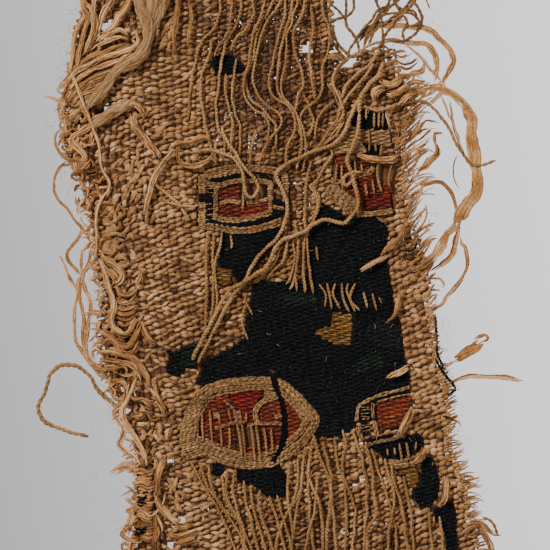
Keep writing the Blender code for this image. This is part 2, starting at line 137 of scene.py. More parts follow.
def cloth_rise(x, y):
    """How far the cloth's swells lift it at a grid point."""
    return blobs(SWELLS, x, y)


def in_hole(x, y):
    """Whether grid points are in one of the small holes."""
    found = np.zeros(np.broadcast(x, y).shape, bool)
    for cx, cy, half_x, half_y in HOLES:
        found |= ((x - cx) / half_x) ** 2 + ((y - cy) / half_y) ** 2 < 1.0
    return found


def inside_cloth(x, y):
    """Whether grid points are within the torn outline."""
    right_edge, tear_side, lobe_left = (at_height(t, y) for t in (RIGHT_EDGE, TEAR_SIDE, LOBE_LEFT))
    inside = (x > at_height(LEFT_EDGE, y)) & (x < np.where(y > LOBE_END, tear_side, right_edge))
    in_tear = (y > TEAR_FOOT) & (x > tear_side) & (x < lobe_left)
    lobe = (y >= TEAR_FOOT) & (y < LOBE_HEAD) & (x > lobe_left) & (x < right_edge)
    return (inside & ~in_tear) | lobe


def runs(mask, least):
    """The start and end of each run of true values that is at least so long."""
    edges = np.flatnonzero(np.diff(np.concatenate(([0], mask.astype(int), [0]))))
    return [(a, b) for a, b in zip(edges[::2], edges[1::2]) if b - a >= least]


def unit(vectors):
    """Vectors brought to a length of 1."""
    return vectors / (np.linalg.norm(vectors, axis=1, keepdims=True) + 1e-12)


def travelled(route):
    """The length of a route up to each of its points."""
    return np.concatenate(([0.0], np.cumsum(np.linalg.norm(np.diff(route, axis=0), axis=1))))


class Skein:
    """Yarns laid one by one as closed tubes, made into one piece."""

    def __init__(self):
        self.points, self.quads, self.tones, self.spins = [], [], [], []
        self.total = 0

    def lay(self, route, wide, tall, sides=6, tone=0.0, twist=0.0, profile=1.0):
        """A yarn of half widths wide and tall along a route, with twist in turns for each millimetre."""
        route = np.asarray(route, float)
        count = len(route)
        ahead = unit(np.gradient(route, axis=0))
        side = unit(np.cross((0.0, 0.0, 1.0), ahead))
        up = np.cross(ahead, side)
        along = travelled(route)
        around = np.arange(sides) / sides
        turn = math.tau * (around[None, :] - 0.25 + twist * along[:, None])
        reach_side = np.cos(turn) * profile * np.broadcast_to(wide, count)[:, None]
        reach_up = np.sin(turn) * profile * np.broadcast_to(tall, count)[:, None]
        rings = route[:, None] + side[:, None] * reach_side[..., None] + up[:, None] * reach_up[..., None]
        near = np.arange(sides)
        far = (near + 1) % sides
        start = self.total + sides * np.arange(count - 1)[:, None]
        walls = np.stack((start + near, start + far, start + sides + far, start + sides + near), axis=-1)
        half = np.arange(sides // 2 - 1)
        cap = np.stack((half, half + 1, sides - 2 - half, sides - 1 - half), axis=-1)
        last = self.total + sides * (count - 1)
        self.quads += [walls.reshape(-1, 4), self.total + cap[:, ::-1], last + cap]
        self.points.append(rings.reshape(-1, 3))
        self.tones.append(np.repeat(np.broadcast_to(tone, count), sides))
        spin = np.zeros((count, sides, 3))
        spin[..., 0] = along[:, None]
        spin[..., 1] = around[None, :]
        self.spins.append(spin.reshape(-1, 3))
        self.total += count * sides

    def piece(self, name, finish, slot=None):
        """All the yarns as one mesh object that rides on the part."""
        points = (np.concatenate(self.points) - GRID_CENTRE) * MM
        quads = np.concatenate(self.quads)
        mesh = bpy.data.meshes.new(name)
        mesh.vertices.add(len(points))
        mesh.vertices.foreach_set("co", points.ravel())
        mesh.loops.add(quads.size)
        mesh.loops.foreach_set("vertex_index", quads.ravel())
        mesh.polygons.add(len(quads))
        mesh.polygons.foreach_set("loop_start", np.arange(0, quads.size, 4))
        mesh.update(calc_edges=True)
        mesh.shade_smooth()
        tone = mesh.attributes.new("tone", "FLOAT", "POINT")
        tone.data.foreach_set("value", np.concatenate(self.tones))
        spin = mesh.attributes.new("spin", "FLOAT_VECTOR", "POINT")
        spin.data.foreach_set("vector", np.concatenate(self.spins).ravel())
        mesh.materials.append(finish)
        made = bpy.data.objects.new(name, mesh)
        bpy.context.scene.collection.objects.link(made)
        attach(made, "root")
        print(name, len(quads) * 2, "triangles")
        return made


def linear(hex_colour):
    """An sRGB hex value as a linear colour."""
    parts = [int(hex_colour[k:k + 2], 16) / 255 for k in (1, 3, 5)]
    return (*(c / 12.92 if c <= 0.04045 else ((c + 0.055) / 1.055) ** 2.4 for c in parts), 1.0)


def add_node(tree, kind, settings=None, links=None):
    """A shader node with its settings, its input values and the sockets that feed it."""
    node = tree.nodes.new(kind)
    for name, value in (settings or {}).items():
        if isinstance(name, str) and hasattr(node, name):
            setattr(node, name, value)
        else:
            node.inputs[name].default_value = value
    for name, source in (links or {}).items():
        tree.links.new(source, node.inputs[name])
    return node


# Features to the metre, as a noise scale counts them. Stains are about 11 mm across. Flax fibres are far
# finer than a pixel, so flecks are drawn 0.4 mm across, as wide as a bundle of them.
STAIN_SCALE = 90.0
FLECK_SCALE = 2600.0
# Features to the millimetre along a yarn: the lines of its twist are about 1.1 mm long
LINE_SCALE = 0.9
# How much each counts in the colour of a yarn, and how far its fibres stand out, in metres
STAIN_SHARE, FLECK_SHARE, LINE_SHARE = 0.55, 0.65, 1.0
FIBRE_RELIEF = 0.0001


def spun_yarn(name, deep, body, bright, twist_lines, roughness=0.9, sheen=0.15, bump=0.25):
    """Matt hand-spun yarn: its fibres lie along the twist, and no two lengths have quite one colour."""
    made = bpy.data.materials.new(name)
    made.use_nodes = True
    tree = made.node_tree
    shader = tree.nodes["Principled BSDF"]
    tone = add_node(tree, "ShaderNodeAttribute", {"attribute_name": "tone"})
    spin = add_node(tree, "ShaderNodeAttribute", {"attribute_name": "spin"})
    place = add_node(tree, "ShaderNodeTexCoord")
    # Four shares make up the colour: broad stains, fine flecks, lines along the twist, each yarn's tone. On
    # woven crowns the tone also holds painted light, and between them painted shade.
    # The first sum is lowered so that their mean falls on the middle of the ramp.
    stain = add_node(tree, "ShaderNodeTexNoise", {"Scale": STAIN_SCALE, "Detail": 3.0, "Roughness": 0.6},
                     {"Vector": place.outputs["Object"]})
    fleck = add_node(tree, "ShaderNodeTexNoise", {"Scale": FLECK_SCALE, "Detail": 2.0, "Roughness": 0.7},
                     {"Vector": place.outputs["Object"]})
    stretch = add_node(tree, "ShaderNodeMapping", {"Scale": (LINE_SCALE, twist_lines, 1.0)},
                       {"Vector": spin.outputs["Vector"]})
    lines = add_node(tree, "ShaderNodeTexNoise", {"Scale": 1.0, "Detail": 3.0, "Roughness": 0.65},
                     {"Vector": stretch.outputs["Vector"]})
    stained = add_node(tree, "ShaderNodeMath",
                       {"operation": "MULTIPLY_ADD", 1: STAIN_SHARE, 2: -0.5 * (STAIN_SHARE + FLECK_SHARE)},
                       {0: stain.outputs["Fac"]})
    flecked = add_node(tree, "ShaderNodeMath", {"operation": "MULTIPLY_ADD", 1: FLECK_SHARE},
                       {0: fleck.outputs["Fac"], 2: stained.outputs["Value"]})
    lined = add_node(tree, "ShaderNodeMath", {"operation": "MULTIPLY_ADD", 1: LINE_SHARE},
                     {0: lines.outputs["Fac"], 2: flecked.outputs["Value"]})
    share = add_node(tree, "ShaderNodeMath", {"operation": "ADD"},
                     {0: lined.outputs["Value"], 1: tone.outputs["Fac"]})
    ramp = add_node(tree, "ShaderNodeValToRGB", {}, {"Fac": share.outputs["Value"]})
    ramp.color_ramp.elements[0].color = linear(deep)
    ramp.color_ramp.elements[1].color = linear(bright)
    middle = ramp.color_ramp.elements.new(0.5)
    middle.color = linear(body)
    relief = add_node(tree, "ShaderNodeBump", {"Strength": bump, "Distance": FIBRE_RELIEF},
                      {"Height": lines.outputs["Fac"]})
    tree.links.new(ramp.outputs["Color"], shader.inputs["Base Color"])
    tree.links.new(relief.outputs["Normal"], shader.inputs["Normal"])
    shader.inputs["Roughness"].default_value = roughness
    shader.inputs["Specular IOR Level"].default_value = 0.15
    shader.inputs["Sheen Weight"].default_value = sheen
    shader.inputs["Sheen Roughness"].default_value = 0.5
    return made


def warp_x(column, y):
    """Where the warps of a column stand at a height, with their lean and their wander."""
    return column + at_height(LEAN, y) + 0.35 * drift(20, column, y, 22.0)


columns = np.arange(FIRST_WARP, LAST_WARP, WARP_PITCH)


# Tapestry band
# Fine wool weft, dyed black-blue, red, ochre and green, beaten close over the same warps as the
# linen. Each colour goes back and forth in its own patch, so the patches' edges step like this.

WOOL_PITCH = 0.42
# How far in from the first warp the rows begin
WOOL_START = 15.0
WOOL_LIFT = 0.45
WOOL_HALF = 0.19
# How much paler the crowns are, as painted light on them and painted shade between them, how uneven in
# tone the row is, its bow over each warp, and how it strays
LIGHT_ROWS = (0.20, 0.08, 0.09, 0.03)
DARK_ROWS = (0.10, 0.14, 0.03, 0.05)

DARK_PATCHES = (
    ((44.2, 63.4), (50, 63.8), (57, 64.8), (56.4, 62), (53.6, 59.2), (51.2, 56.4), (49.4, 53.8),
     (47.6, 53.2), (45.8, 56.4), (43.6, 56.6), (44, 60)),
    ((50.4, 52.8), (52.6, 54), (57, 53.6), (60.8, 53.4), (61.6, 56), (61.4, 60), (61.8, 66), (64.6, 69.4),
     (69.4, 66.6), (71.2, 67), (74.8, 66.6), (76.8, 65.4), (77.6, 64), (77.4, 61), (77.6, 57.6), (78.4, 52),
     (78.6, 50), (79.8, 45.8), (80.4, 42), (81, 38), (81.8, 36.8), (82, 32.8), (80, 26), (71.6, 26),
     (70.2, 23.6), (68.4, 22.6), (64.6, 22.6), (62, 22), (60, 30), (56, 33), (48, 34), (39.2, 32.8),
     (39.8, 35.6), (41.4, 38.2), (45, 40), (48.8, 42.4), (49.6, 48)),
    ((42.2, 98.4), (43.2, 99.2), (44.4, 98.6), (45.6, 99.2), (46.8, 98.8), (48, 97.6), (49.2, 96.4),
     (48.8, 95.6), (47.2, 95.6), (45.6, 94.8), (43.2, 95.2), (42.2, 96.4)),
    ((33, 40.2), (34.8, 39.6), (36.8, 40.8), (39.2, 41.2), (40, 39.6), (40, 37.6), (39.2, 36), (37.2, 36.4),
     (36, 34.4), (33.2, 35.6), (30, 34.8), (30.4, 35.6), (32.8, 36.4), (34, 38)),
    ((42.2, 17.6), (45, 17.2), (44.8, 15.6), (43.6, 14.8), (42.2, 15.4)),
    ((47.2, 16.6), (50, 17.4), (55.6, 17.6), (57.4, 14.8), (58, 12), (57.2, 10.8), (54, 10.4), (52.4, 11.2),
     (50.4, 13.2), (48, 13.4), (47.2, 14.4)),
    ((73.8, 20.6), (74.4, 20), (76.2, 19), (77.2, 17.8), (79.2, 17.6), (80.8, 18.2), (82.8, 19.6),
     (84.6, 20.6), (84.8, 22), (83.6, 23.4), (80.8, 22.8), (78, 21.8), (75.2, 21.2)),
    ((85.4, 19), (86.6, 18.2), (87.6, 16), (87.8, 14), (87.6, 11), (86, 8.6), (84.4, 8), (82.8, 10),
     (82.4, 12), (84, 14.4), (84, 17)),
    ((86.2, 8.4), (88, 8.8), (89.6, 10.4), (90.6, 9.2), (91.2, 7.2), (91.2, 4), (91.6, 0), (91.8, -4),
     (90.2, -4), (89.2, 0), (88.8, 3.6), (87.2, 6)),
    ((70, 86.2), (72, 87.6), (74.4, 88), (77.4, 87), (77.6, 84.2), (75, 84), (70.4, 84.4)),
    ((72.6, 81.4), (76.2, 81.4), (76, 79), (72.8, 79.2)),
    ((76, 77.4), (78.6, 77.4), (78.5, 74.2), (76, 74.2)),
)
GREEN_PATCHES = (
    ((55.6, 50.4), (57.6, 51.8), (61, 51.6), (64, 51), (63.6, 49.4), (59.6, 48.6), (56.6, 49)),
    ((69.8, 36.2), (71.6, 38), (74.4, 39.6), (77, 39.8), (76.8, 36.6), (73.6, 35.4), (70.4, 34.8)),
    ((35.8, 37.2), (36.4, 40.6), (39.2, 41.6), (40.4, 39.8), (39.6, 37), (37.4, 36.6)),
)
PLUM_PATCHES = (
    ((73, 44), (75, 46), (80, 45.6), (80.6, 40.6), (77.4, 40), (73.6, 41.6)),
)
OCHRE_PATCHES = (
    ((43.2, 56.2), (46.2, 56), (46.4, 53.4), (44.6, 52.6), (43, 53.6)),
    ((66.4, 47.4), (67.4, 47.6), (69, 47.2), (70.4, 47), (70.6, 45), (70.2, 41.2), (67, 41), (65.6, 41.8),
     (64.4, 42.4), (62.6, 43.6), (64, 44.4), (66.2, 44.8)),
    ((79.2, 17.6), (80.8, 17), (82.8, 17.6), (83.6, 15.8), (84, 14.2), (83.2, 12.6), (81.6, 12.4),
     (81.2, 14.8), (79.6, 15.6)),
)
RED_PATCHES = (
    ((43.6, 69.9), (48, 69.9), (48.2, 72.8), (43.8, 72.8)),
    ((43.4, 66.4), (48.4, 66), (54.2, 67.2), (54, 69.6), (49.2, 69.2), (43.8, 69.2)),
    ((66.8, 78.4), (69.2, 78.8), (70.6, 78), (70.2, 76.2), (68.8, 74.4), (68.6, 72.2), (67.2, 73.4)),
    ((68.6, 73.2), (71.2, 73.4), (71.2, 69.2), (69.6, 70.6)),
    ((71.4, 77.8), (74.2, 77.8), (73.8, 75.2), (71.4, 75)),
    ((71.6, 74.8), (75, 75.2), (75.2, 73.2), (78.4, 73.8), (78.7, 68.4), (72, 68)),
    ((75.2, 29.6), (78.8, 30.4), (82.2, 30.8), (82.2, 28), (81.6, 26.6), (80, 24.8), (76, 23.6),
     (75.4, 26)),
    ((40.4, 28.8), (43, 30.6), (46.6, 31), (48.2, 28.4), (47.4, 25), (43, 24.4), (41, 25.6)),
    ((42.6, 24.2), (47, 24.4), (47.4, 20), (45, 19.2), (42.6, 20.4)),
    ((49, 20.6), (51.8, 20.6), (51.2, 18.2), (50, 18.2)),
    ((51.9, 29.4), (56.4, 30.6), (57.2, 25.2), (51.8, 25)),
    ((52.4, 24.6), (57.2, 24.6), (56.6, 21.4), (53.8, 19.2), (52.2, 20.6)),
    ((56.4, 31.2), (59.2, 29.4), (60.6, 26), (58.8, 22.8), (57, 21.4)),
    ((40, 28), (41.2, 28.6), (42.6, 24), (42.4, 21.6), (40.2, 22.2)),
)
BRIGHT_RED_PATCHES = (
    ((45.4, 31.9), (53.2, 31.9), (51.4, 29.4), (51.1, 26.6), (50.8, 25), (48.2, 25.2), (47.6, 28),
     (46.6, 29.6)),
    ((73, 70.4), (78.4, 71.4), (78.4, 68.4), (72.6, 68.6)),
)
TAN_PATCHES = (
    ((65.8, 79.4), (67.8, 82), (69.4, 84.4), (71.4, 84.8), (71.8, 80.4), (71, 78.2), (68.4, 77.6)),
    ((71, 84), (78.2, 84), (78.4, 80.8), (71.2, 81.2)),
)
OVAL_OUTLINE = (
    (36.2, 21.8), (36.6, 25), (37.4, 28), (39, 31), (41.6, 33), (45, 34.1), (49, 34.6), (52.4, 34.6),
    (55.4, 34.5), (58, 33), (60.6, 30.6), (62.8, 28.2), (63.9, 26.2), (63, 23.8), (61.2, 21.4),
    (58.6, 19.2), (55.4, 17.2), (51.6, 16.3), (47.6, 16.5), (44, 17.5), (41, 18.9), (38.4, 19.7),
    (36.6, 20.2),
)
PANEL_OUTLINE = (
    (39.4, 74.6), (41.2, 76.4), (45, 77), (52.4, 77), (57.4, 76), (57.8, 70), (57, 65.4), (53.6, 64.4),
    (50, 63.6), (47, 63.4), (43, 63.9), (39.5, 64.4),
)
BLOCK_OUTLINE = (
    (66.4, 78.8), (70.6, 79.4), (79.2, 78.8), (79, 66.8), (71.4, 66.6), (68.6, 69.8), (66.4, 73.6),
)

# The crack down the oval, by the middle of its width
CRACK = (
    (54.6, 35.4), (55.2, 33), (56.3, 30), (56.8, 27.5), (57, 25), (57, 22.6), (56.2, 20.4), (54.8, 18),
)
CRACK_HALF = 0.56
CRACK_FOOT, CRACK_HEAD = 17.6, 36.0


def within(patch, x, y):
    """Whether grid points are inside a closed outline."""
    inside = np.zeros(np.broadcast(x, y).shape, bool)
    for (ax, ay), (bx, by) in zip(patch, patch[1:] + patch[:1]):
        if ay == by:
            continue
        crosses = ((ay > y) != (by > y)) & (x < (bx - ax) * (y - ay) / (by - ay) + ax)
        inside ^= crosses
    return inside


def cracked(x, y):
    """Whether grid points are in the crack down the oval."""
    near = np.abs(x - at_height(CRACK, y)) < CRACK_HALF * (1.0 + 0.3 * drift(17, x, y, 3.0))
    return near & (y > CRACK_FOOT) & (y < CRACK_HEAD)


# The first two kinds are red and fill the ornaments, and the first four are light
wool_kinds = (
    ("bright_red", BRIGHT_RED_PATCHES), ("red", RED_PATCHES), ("ochre", OCHRE_PATCHES),
    ("tan", TAN_PATCHES), ("green", GREEN_PATCHES), ("plum", PLUM_PATCHES), ("dark", DARK_PATCHES),
)
RED_KINDS = 2
LIGHT_KINDS = 4
KEPT_BARE = 99


def wool_at(x, y):
    """The number of the wool at each grid point, -1 on plain linen, or KEPT_BARE inside an ornament."""
    found = np.full(np.broadcast(x, y).shape, -1)
    for number, (_, patches) in reversed(list(enumerate(wool_kinds))):
        for patch in patches:
            found[within(patch, x, y)] = number
    for outline in (OVAL_OUTLINE, PANEL_OUTLINE, BLOCK_OUTLINE):
        found[within(outline, x, y) & ((found >= RED_KINDS) | (found < 0))] = KEPT_BARE
    found[cracked(x, y)] = KEPT_BARE
    return found


def wool_rows(number, skein, seed):
    """Rows of one wool in all its patches, each weft over and under the warp groups."""
    name, patches = wool_kinds[number]
    light, dark = number < LIGHT_KINDS, name == "dark"
    crown_painted_light, tone_spread, bow, stray = LIGHT_ROWS if light else DARK_ROWS
    heights = [p[1] for patch in patches for p in patch]
    for k, base in enumerate(np.arange(min(heights) - 1.0, max(heights) + 1.0, WOOL_PITCH)):
        u = np.arange(columns[0] + WOOL_START, columns[-1], WARP_PITCH / 4)
        y = base + 0.35 * drift(41, u, base, 22.0) + 0.06 * drift(seed, u, base, 2.0)
        x = warp_x(u, y)
        phase = math.pi * (u - columns[0]) / WARP_PITCH + math.pi * k
        chance = np.random.default_rng(100 * seed + k)
        z = MID_HEIGHT + WOOL_LIFT + cloth_rise(x, y) + 0.17 * np.cos(phase) + (0.0 if dark else 0.06)
        wide = WOOL_HALF + 0.07 * np.abs(np.cos(phase)) + 0.016 * chance.standard_normal(len(u))
        shade = 0.10 * chance.standard_normal() + 0.10 * drift(seed + 3, x, y, 6.0)
        # The crowns are painted paler and the dips between them darker: painted light and painted shade
        shade = shade + crown_painted_light * np.cos(phase) + tone_spread * chance.standard_normal(len(u))
        sway = bow * np.cos(2.0 * phase) + stray * chance.standard_normal(len(u))
        route = np.stack((x, y + sway, z), axis=-1)
        found = wool_at(x, y)
        # The black rows go on under the green and plum ones, which are as dark
        own = (found == number) | (dark & (found >= LIGHT_KINDS) & (found < number))
        for a, b in runs(own, 3):
            skein.lay(route[a:b], wide[a:b], 0.85 * wide[a:b], 6 if light else 4, shade[a:b], 0.5)


# Wool dyed blue over black and beaten close: hardly any light comes back, and short hairs soften it
dark_wool = spun_yarn("fuzzy_blue_black_wool", "#020304", "#06080B", "#12151A", 8.0, 1.0, 0.06, 0.5)
# Wool dyed with madder and dulled by age: brownish red on its crowns, paler there with painted light,
# and nearly brown between them, partly painted shade
red_wool = spun_yarn("madder_red_wool", "#220703", "#66230F", "#A04A29", 8.0, 0.95, 0.1)
# The same dye where it has faded less: redder and a little deeper
bright_red_wool = spun_yarn("bright_red_wool", "#300605", "#74190F", "#A13824", 8.0, 0.95, 0.1)
# Wool that was once yellow: a dusty ochre
ochre_wool = spun_yarn("faded_ochre_wool", "#2C1A07", "#6F4A18", "#A0773A", 8.0, 0.95, 0.1)
# Green wool that age has darkened, so that it only shows beside the black
green_wool = spun_yarn("dark_green_wool", "#060A06", "#141D13", "#2A3824", 8.0, 1.0, 0.06, 0.5)
# Black wool worn thin, with a plum cast where its surface has rubbed off
plum_wool = spun_yarn("worn_plum_wool", "#090708", "#191415", "#2C2527", 8.0, 1.0, 0.06, 0.5)
# Fine tan weft, evenly spun and packed: smooth pale ribs with dark lines between them. Along each weft its
# crowns get painted light and its dips painted shade
tan_weft = spun_yarn("fine_tan_weft", "#3A2210", "#8A6238", "#C79C68", 8.0)

# Linen warps that lay under the weft: dull, and darker than the crowns over them as painted shade
shaded_warp_linen = spun_yarn("linen_warp_with_painted_shade", "#3C2310", "#6C4726", "#98703F", 6.0)

# The ground warps are laid now that the wool's place is known, since it leaves no gap between them
warps = Skein()
for k, column in enumerate(columns):
    y = np.arange(CLOTH_FOOT, CLOTH_HEAD, WARP_PITCH / 2)
    x = warp_x(column, y)
    chance = np.random.default_rng(60 + k)
    parted = (chance.random(len(y)) < 0.008 + np.clip(blobs(LIT, x, y), 0.0, 1.0)) & (wool_at(x, y) < 0)
    gap = np.where(parted, chance.uniform(0.35, 0.88, len(y)), 0.0)
    half = WARP_PITCH / 2 * (1.22 - gap + 0.04 * chance.standard_normal(len(y)))
    z = MID_HEIGHT - 0.05 + cloth_rise(x, y)
    clear = inside_cloth(x - 1.1, y - 0.4) & inside_cloth(x + 1.1, y + 0.8) & ~in_hole(x, y)
    for a, b in runs(clear, 3):
        # A tone of -0.15 darkens them further, as painted shade
        warps.lay(np.stack((x, y, z), axis=-1)[a:b], half[a:b], WARP_HALF_DEPTH, 4, tone=-0.15)
ground_warps = warps.piece("ground_warps", shaded_warp_linen, "warp_linen")

wool_finishes = (
    (bright_red_wool, "red_wool"), (red_wool, "red_wool"), (ochre_wool, "ochre_wool"),
    (tan_weft, "linen_ground"), (green_wool, "dark_wool"), (plum_wool, "dark_wool"),
    (dark_wool, "dark_wool"),
)
for number, (name, _) in enumerate(wool_kinds):
    patch_rows = Skein()
    wool_rows(number, patch_rows, 50 + 5 * number)
    patch_rows.piece(f"{name}_tapestry_rows", *wool_finishes[number])


# Ornament rims
# Fine tan weft laid along the outline of each ornament instead of across it, row beside row, and
# packed until it stands above the field. Black wool runs between the rims of the square ones.

# From one weft to the next in a rim, in a bar and where black wefts lie side by side
RIB_PITCH = 0.37
BAR_PITCH = 0.36
DARK_PITCH = 0.32
RIM_RIBS = 9
CRACK_WEFTS = 4
RIB_HALF = 0.20
RIM_HEIGHT = 1.66
CROWN_PITCH = 1.15
FINE_STEP = 0.24
SPAN_STEPS = 12


def smooth_route(points, step=FINE_STEP):
    """A Catmull-Rom curve through given points, sampled about a step apart."""
    points = np.asarray(points, float)
    ends = np.vstack((2 * points[0] - points[1], points, 2 * points[-1] - points[-2]))
    t = np.linspace(0.0, 1.0, SPAN_STEPS, endpoint=False)[:, None]
    spans = []
    for a, b, c, d in zip(ends, ends[1:], ends[2:], ends[3:]):
        spans.append(0.5 * (2 * b + (c - a) * t + (2 * a - 5 * b + 4 * c - d) * t ** 2
                            + (3 * b - a - 3 * c + d) * t ** 3))
    fine = np.vstack((*spans, points[-1:]))
    lengths = travelled(fine)
    wanted = np.linspace(0.0, lengths[-1], max(4, round(lengths[-1] / step)))
    return np.stack([np.interp(wanted, lengths, fine[:, k]) for k in range(fine.shape[1])], axis=-1)


def beside(route, distance):
    """A flat route moved to its left, by one distance or by one for each point."""
    ahead = unit(np.gradient(route, axis=0))
    return route + np.reshape(distance, (-1, 1)) * np.stack((-ahead[:, 1], ahead[:, 0]), axis=-1)


def side_by_side(points, threads, pitch):
    """The flat routes of wefts that lie side by side along given points."""
    middle = smooth_route(points)
    return [beside(middle, pitch * (thread - (threads - 1) / 2)) for thread in range(threads)]


def lay_rib(skein, flat, width, height, seed, tone=0.0, unbroken=False):
    """One fine weft along a flat route, in small crowns over single warps, cut off at the crack."""
    chance = np.random.default_rng(seed)
    flat = np.asarray(flat, float)
    x, y = flat[:, 0], flat[:, 1]
    pace = travelled(flat) + 0.4 * drift(seed, x, y, 6.0)
    crown = np.cos(math.tau * (pace / CROWN_PITCH + 0.5 * (seed % 2)))
    x = x + 0.07 * drift(seed + 1, x, y, 2.5)
    y = y + 0.07 * drift(seed + 2, x, y, 2.5)
    z = height + cloth_rise(x, y) + 0.09 * crown + 0.03 * chance.standard_normal(len(x))
    wide = width * (1.0 + 0.17 * crown + 0.08 * chance.standard_normal(len(x)))
    # The crowns are painted paler and the dips between them darker: painted light and painted shade
    shade = tone + 0.10 * chance.standard_normal() + 0.12 * crown + 0.10 * drift(seed % 7, x, y, 4.0)
    whole = np.stack((x, y, z), axis=-1)
    for a, b in runs(unbroken | ~cracked(x, y), 4):
        skein.lay(whole[a:b], wide[a:b], 0.9 * wide[a:b], tone=shade[a:b], twist=0.5)


rims = Skein()
dark_lines = Skein()
outline = smooth_route(OVAL_OUTLINE + OVAL_OUTLINE[:1])
# The rows of the oval's rim lie closer along its top
crowded = 1.0 - 0.16 * np.clip((outline[:, 1] - 29.0) / 5.0, 0.0, 1.0)
for k in range(RIM_RIBS):
    spacing = RIB_PITCH * (k + 0.3) * (crowded + 0.05 * drift(80 + k, outline[:, 0], outline[:, 1], 9.0))
    lay_rib(rims, beside(outline, -spacing), 0.21, RIM_HEIGHT - 0.03 * abs(k - 4), 200 + k)

# Bars, frames and branches inside the ornaments: number of wefts side by side, points
TAN_BARS = (
    # The square panel
    (4, ((41, 75), (44, 75.9), (49, 76.3), (53, 76.1), (57.2, 75.3))),
    (2, ((41.6, 74.3), (44.4, 74.9), (48, 75.7))),
    (3, ((41.4, 73.2), (44, 72.9), (46.4, 73.6), (49, 73.8), (52.4, 73.7), (54.4, 73.3))),
    (3, ((42.6, 66.6), (45, 66), (48, 66), (51, 66.5), (54.2, 67.5))),
    (4, ((39.8, 65), (43, 64.5), (47, 63.9), (50, 64), (53.6, 64.8), (56.4, 65.8))),
    (2, ((44, 69.3), (46, 69.7), (48.2, 69.4))), (2, ((49.4, 69.3), (51.6, 69.7), (53.6, 70.2))),
    (2, ((54.8, 72), (55.6, 71.4), (56.8, 71))), (2, ((54.6, 68.6), (55.6, 68.4), (56.8, 68.2))),
    # The block beside it, at the upper right
    (9, ((65.6, 72.5), (68.2, 70.3), (70.9, 68.3))), (3, ((66.2, 73.9), (68.2, 73.5))),
    (3, ((71.4, 67.2), (73.8, 67.2), (76, 67.4), (78.4, 67.9))),
    (3, ((70.6, 74.7), (72.4, 75), (74, 75.6), (74.6, 76.6))), (6, ((70.6, 80.6), (72, 80), (72.6, 79.2))),
    (2, ((75.8, 66.2), (77.2, 65.4))),
    # The oval
    (1, ((44.8, 29.9), (46.4, 28.6), (47.2, 27.2))), (4, ((47.4, 27.9), (47.7, 26.4), (47.6, 25))),
    (3, ((55.2, 30.6), (53, 30), (51.5, 28.6), (51.1, 27.2), (51.5, 25.2))),
    (2, ((43, 24.4), (45, 24.9), (47, 25.4), (49, 25.7))), (2, ((49.5, 25), (52.2, 25.4), (56.3, 25.2))),
    (3, ((42.7, 27), (43.9, 27.1))), (3, ((55, 26.6), (56.2, 27.2))),
    (5, ((59.8, 28.6), (61.2, 27.6), (62.2, 26.4))), (4, ((52.8, 31.2), (54.4, 31.1), (55.8, 30.6))),
    # The block at the lower right
    (2, ((81.8, 32.6), (79, 31.8), (76, 31), (73.6, 30), (72, 29), (71.4, 27.6), (71.3, 25.8))),
    (2, ((71.5, 24.6), (71.9, 23.2), (72.6, 22))), (2, ((73.2, 21), (76, 21.8), (79, 22.4), (80.8, 23.2))),
    (1, ((82, 31.2), (78.4, 30.6), (75.4, 29.6))), (2, ((74.5, 29.4), (74.5, 27.8), (74.7, 26.4))),
    (2, ((74.9, 25.8), (75.1, 24.2), (75.5, 22.8))), (1, ((75.4, 22.8), (77.6, 23.4), (79.4, 23.8))),
    (1, ((77, 26.6), (79, 26.8))), (5, ((77.6, 17.4), (79.6, 17.2), (81.6, 17.6))),
)
THIN_TICKS = (
    ((72.3, 28.6), (73.8, 28.7)), ((72.2, 28), (73.8, 28.1)), ((72.2, 27.4), (73.8, 27.4)),
    ((72.2, 26.8), (73.9, 26.7)), ((72.3, 26.2), (73.9, 26.3)), ((72.3, 25), (74.1, 25.3)),
    ((72.5, 24.4), (74.2, 24.8)), ((72.6, 23.8), (74.2, 24.2)), ((41.4, 72.2), (42.6, 72.4)),
    ((41.4, 71.6), (42.6, 71.5)), ((41.2, 69), (42.4, 69.2)), ((41.4, 68), (42.4, 68.3)),
    ((41.4, 67), (42.6, 67.2)), ((41.2, 66), (42.2, 66.1)),
)
DARK_BARS = (
    (3, ((41.2, 73.9), (43.2, 74), (45.6, 74.6), (48, 75))), (2, ((49.4, 74.9), (50.8, 74.9))),
    (2, ((51.8, 74.7), (53.8, 74.5))), (5, ((39.8, 70.4), (41.4, 70.3), (42.7, 70.2))),
    (4, ((41.8, 72.9), (41.7, 71), (41.8, 68), (41.7, 65.8))),
    (3, ((40.4, 65.5), (42, 65.7), (45, 65.1), (48, 65.1), (51.6, 65.9), (55, 67), (56.8, 67.8))),
    (3, ((54.7, 69.5), (55.8, 69.7), (57, 69))), (2, ((55, 73.4), (56, 72.4))),
    (2, ((82, 31.9), (79, 31.2), (75.6, 30.2), (73.6, 29.2))),
    (4, ((72.9, 29.2), (72.8, 26.6), (73.2, 23))), (2, ((73.4, 21.6), (76, 22.5), (78.4, 23))),
)
# Upright frames wound with short wefts: from x, to x, from y, to y
WOUND_FRAMES = (
    (39.8, 41.2, 64.9, 69.6), (39.8, 41.3, 71.3, 75.2), (42.7, 43.7, 66.7, 73), (53.6, 54.6, 67.6, 73.2),
    (56.5, 57.7, 69.6, 75.2),
)
for k, (threads, points) in enumerate(TAN_BARS):
    for thread, line in enumerate(side_by_side(points, threads, BAR_PITCH)):
        lay_rib(rims, line, RIB_HALF, RIM_HEIGHT, 300 + 10 * k + thread, 0.03)
for k, points in enumerate(THIN_TICKS):
    lay_rib(rims, smooth_route(points), 0.11, RIM_HEIGHT + 0.16, 700 + k, 0.05)
for left, right, foot, top in WOUND_FRAMES:
    for y in np.arange(foot, top, 0.40):
        start = left + 0.15 * float(drift(91, left, y, 2.0))
        end = right + 0.15 * float(drift(92, left, y, 2.0))
        line = smooth_route(((start, y), (end, y + 0.1)))
        lay_rib(rims, line, 0.21, RIM_HEIGHT + 0.05, round(100 * y), 0.05)
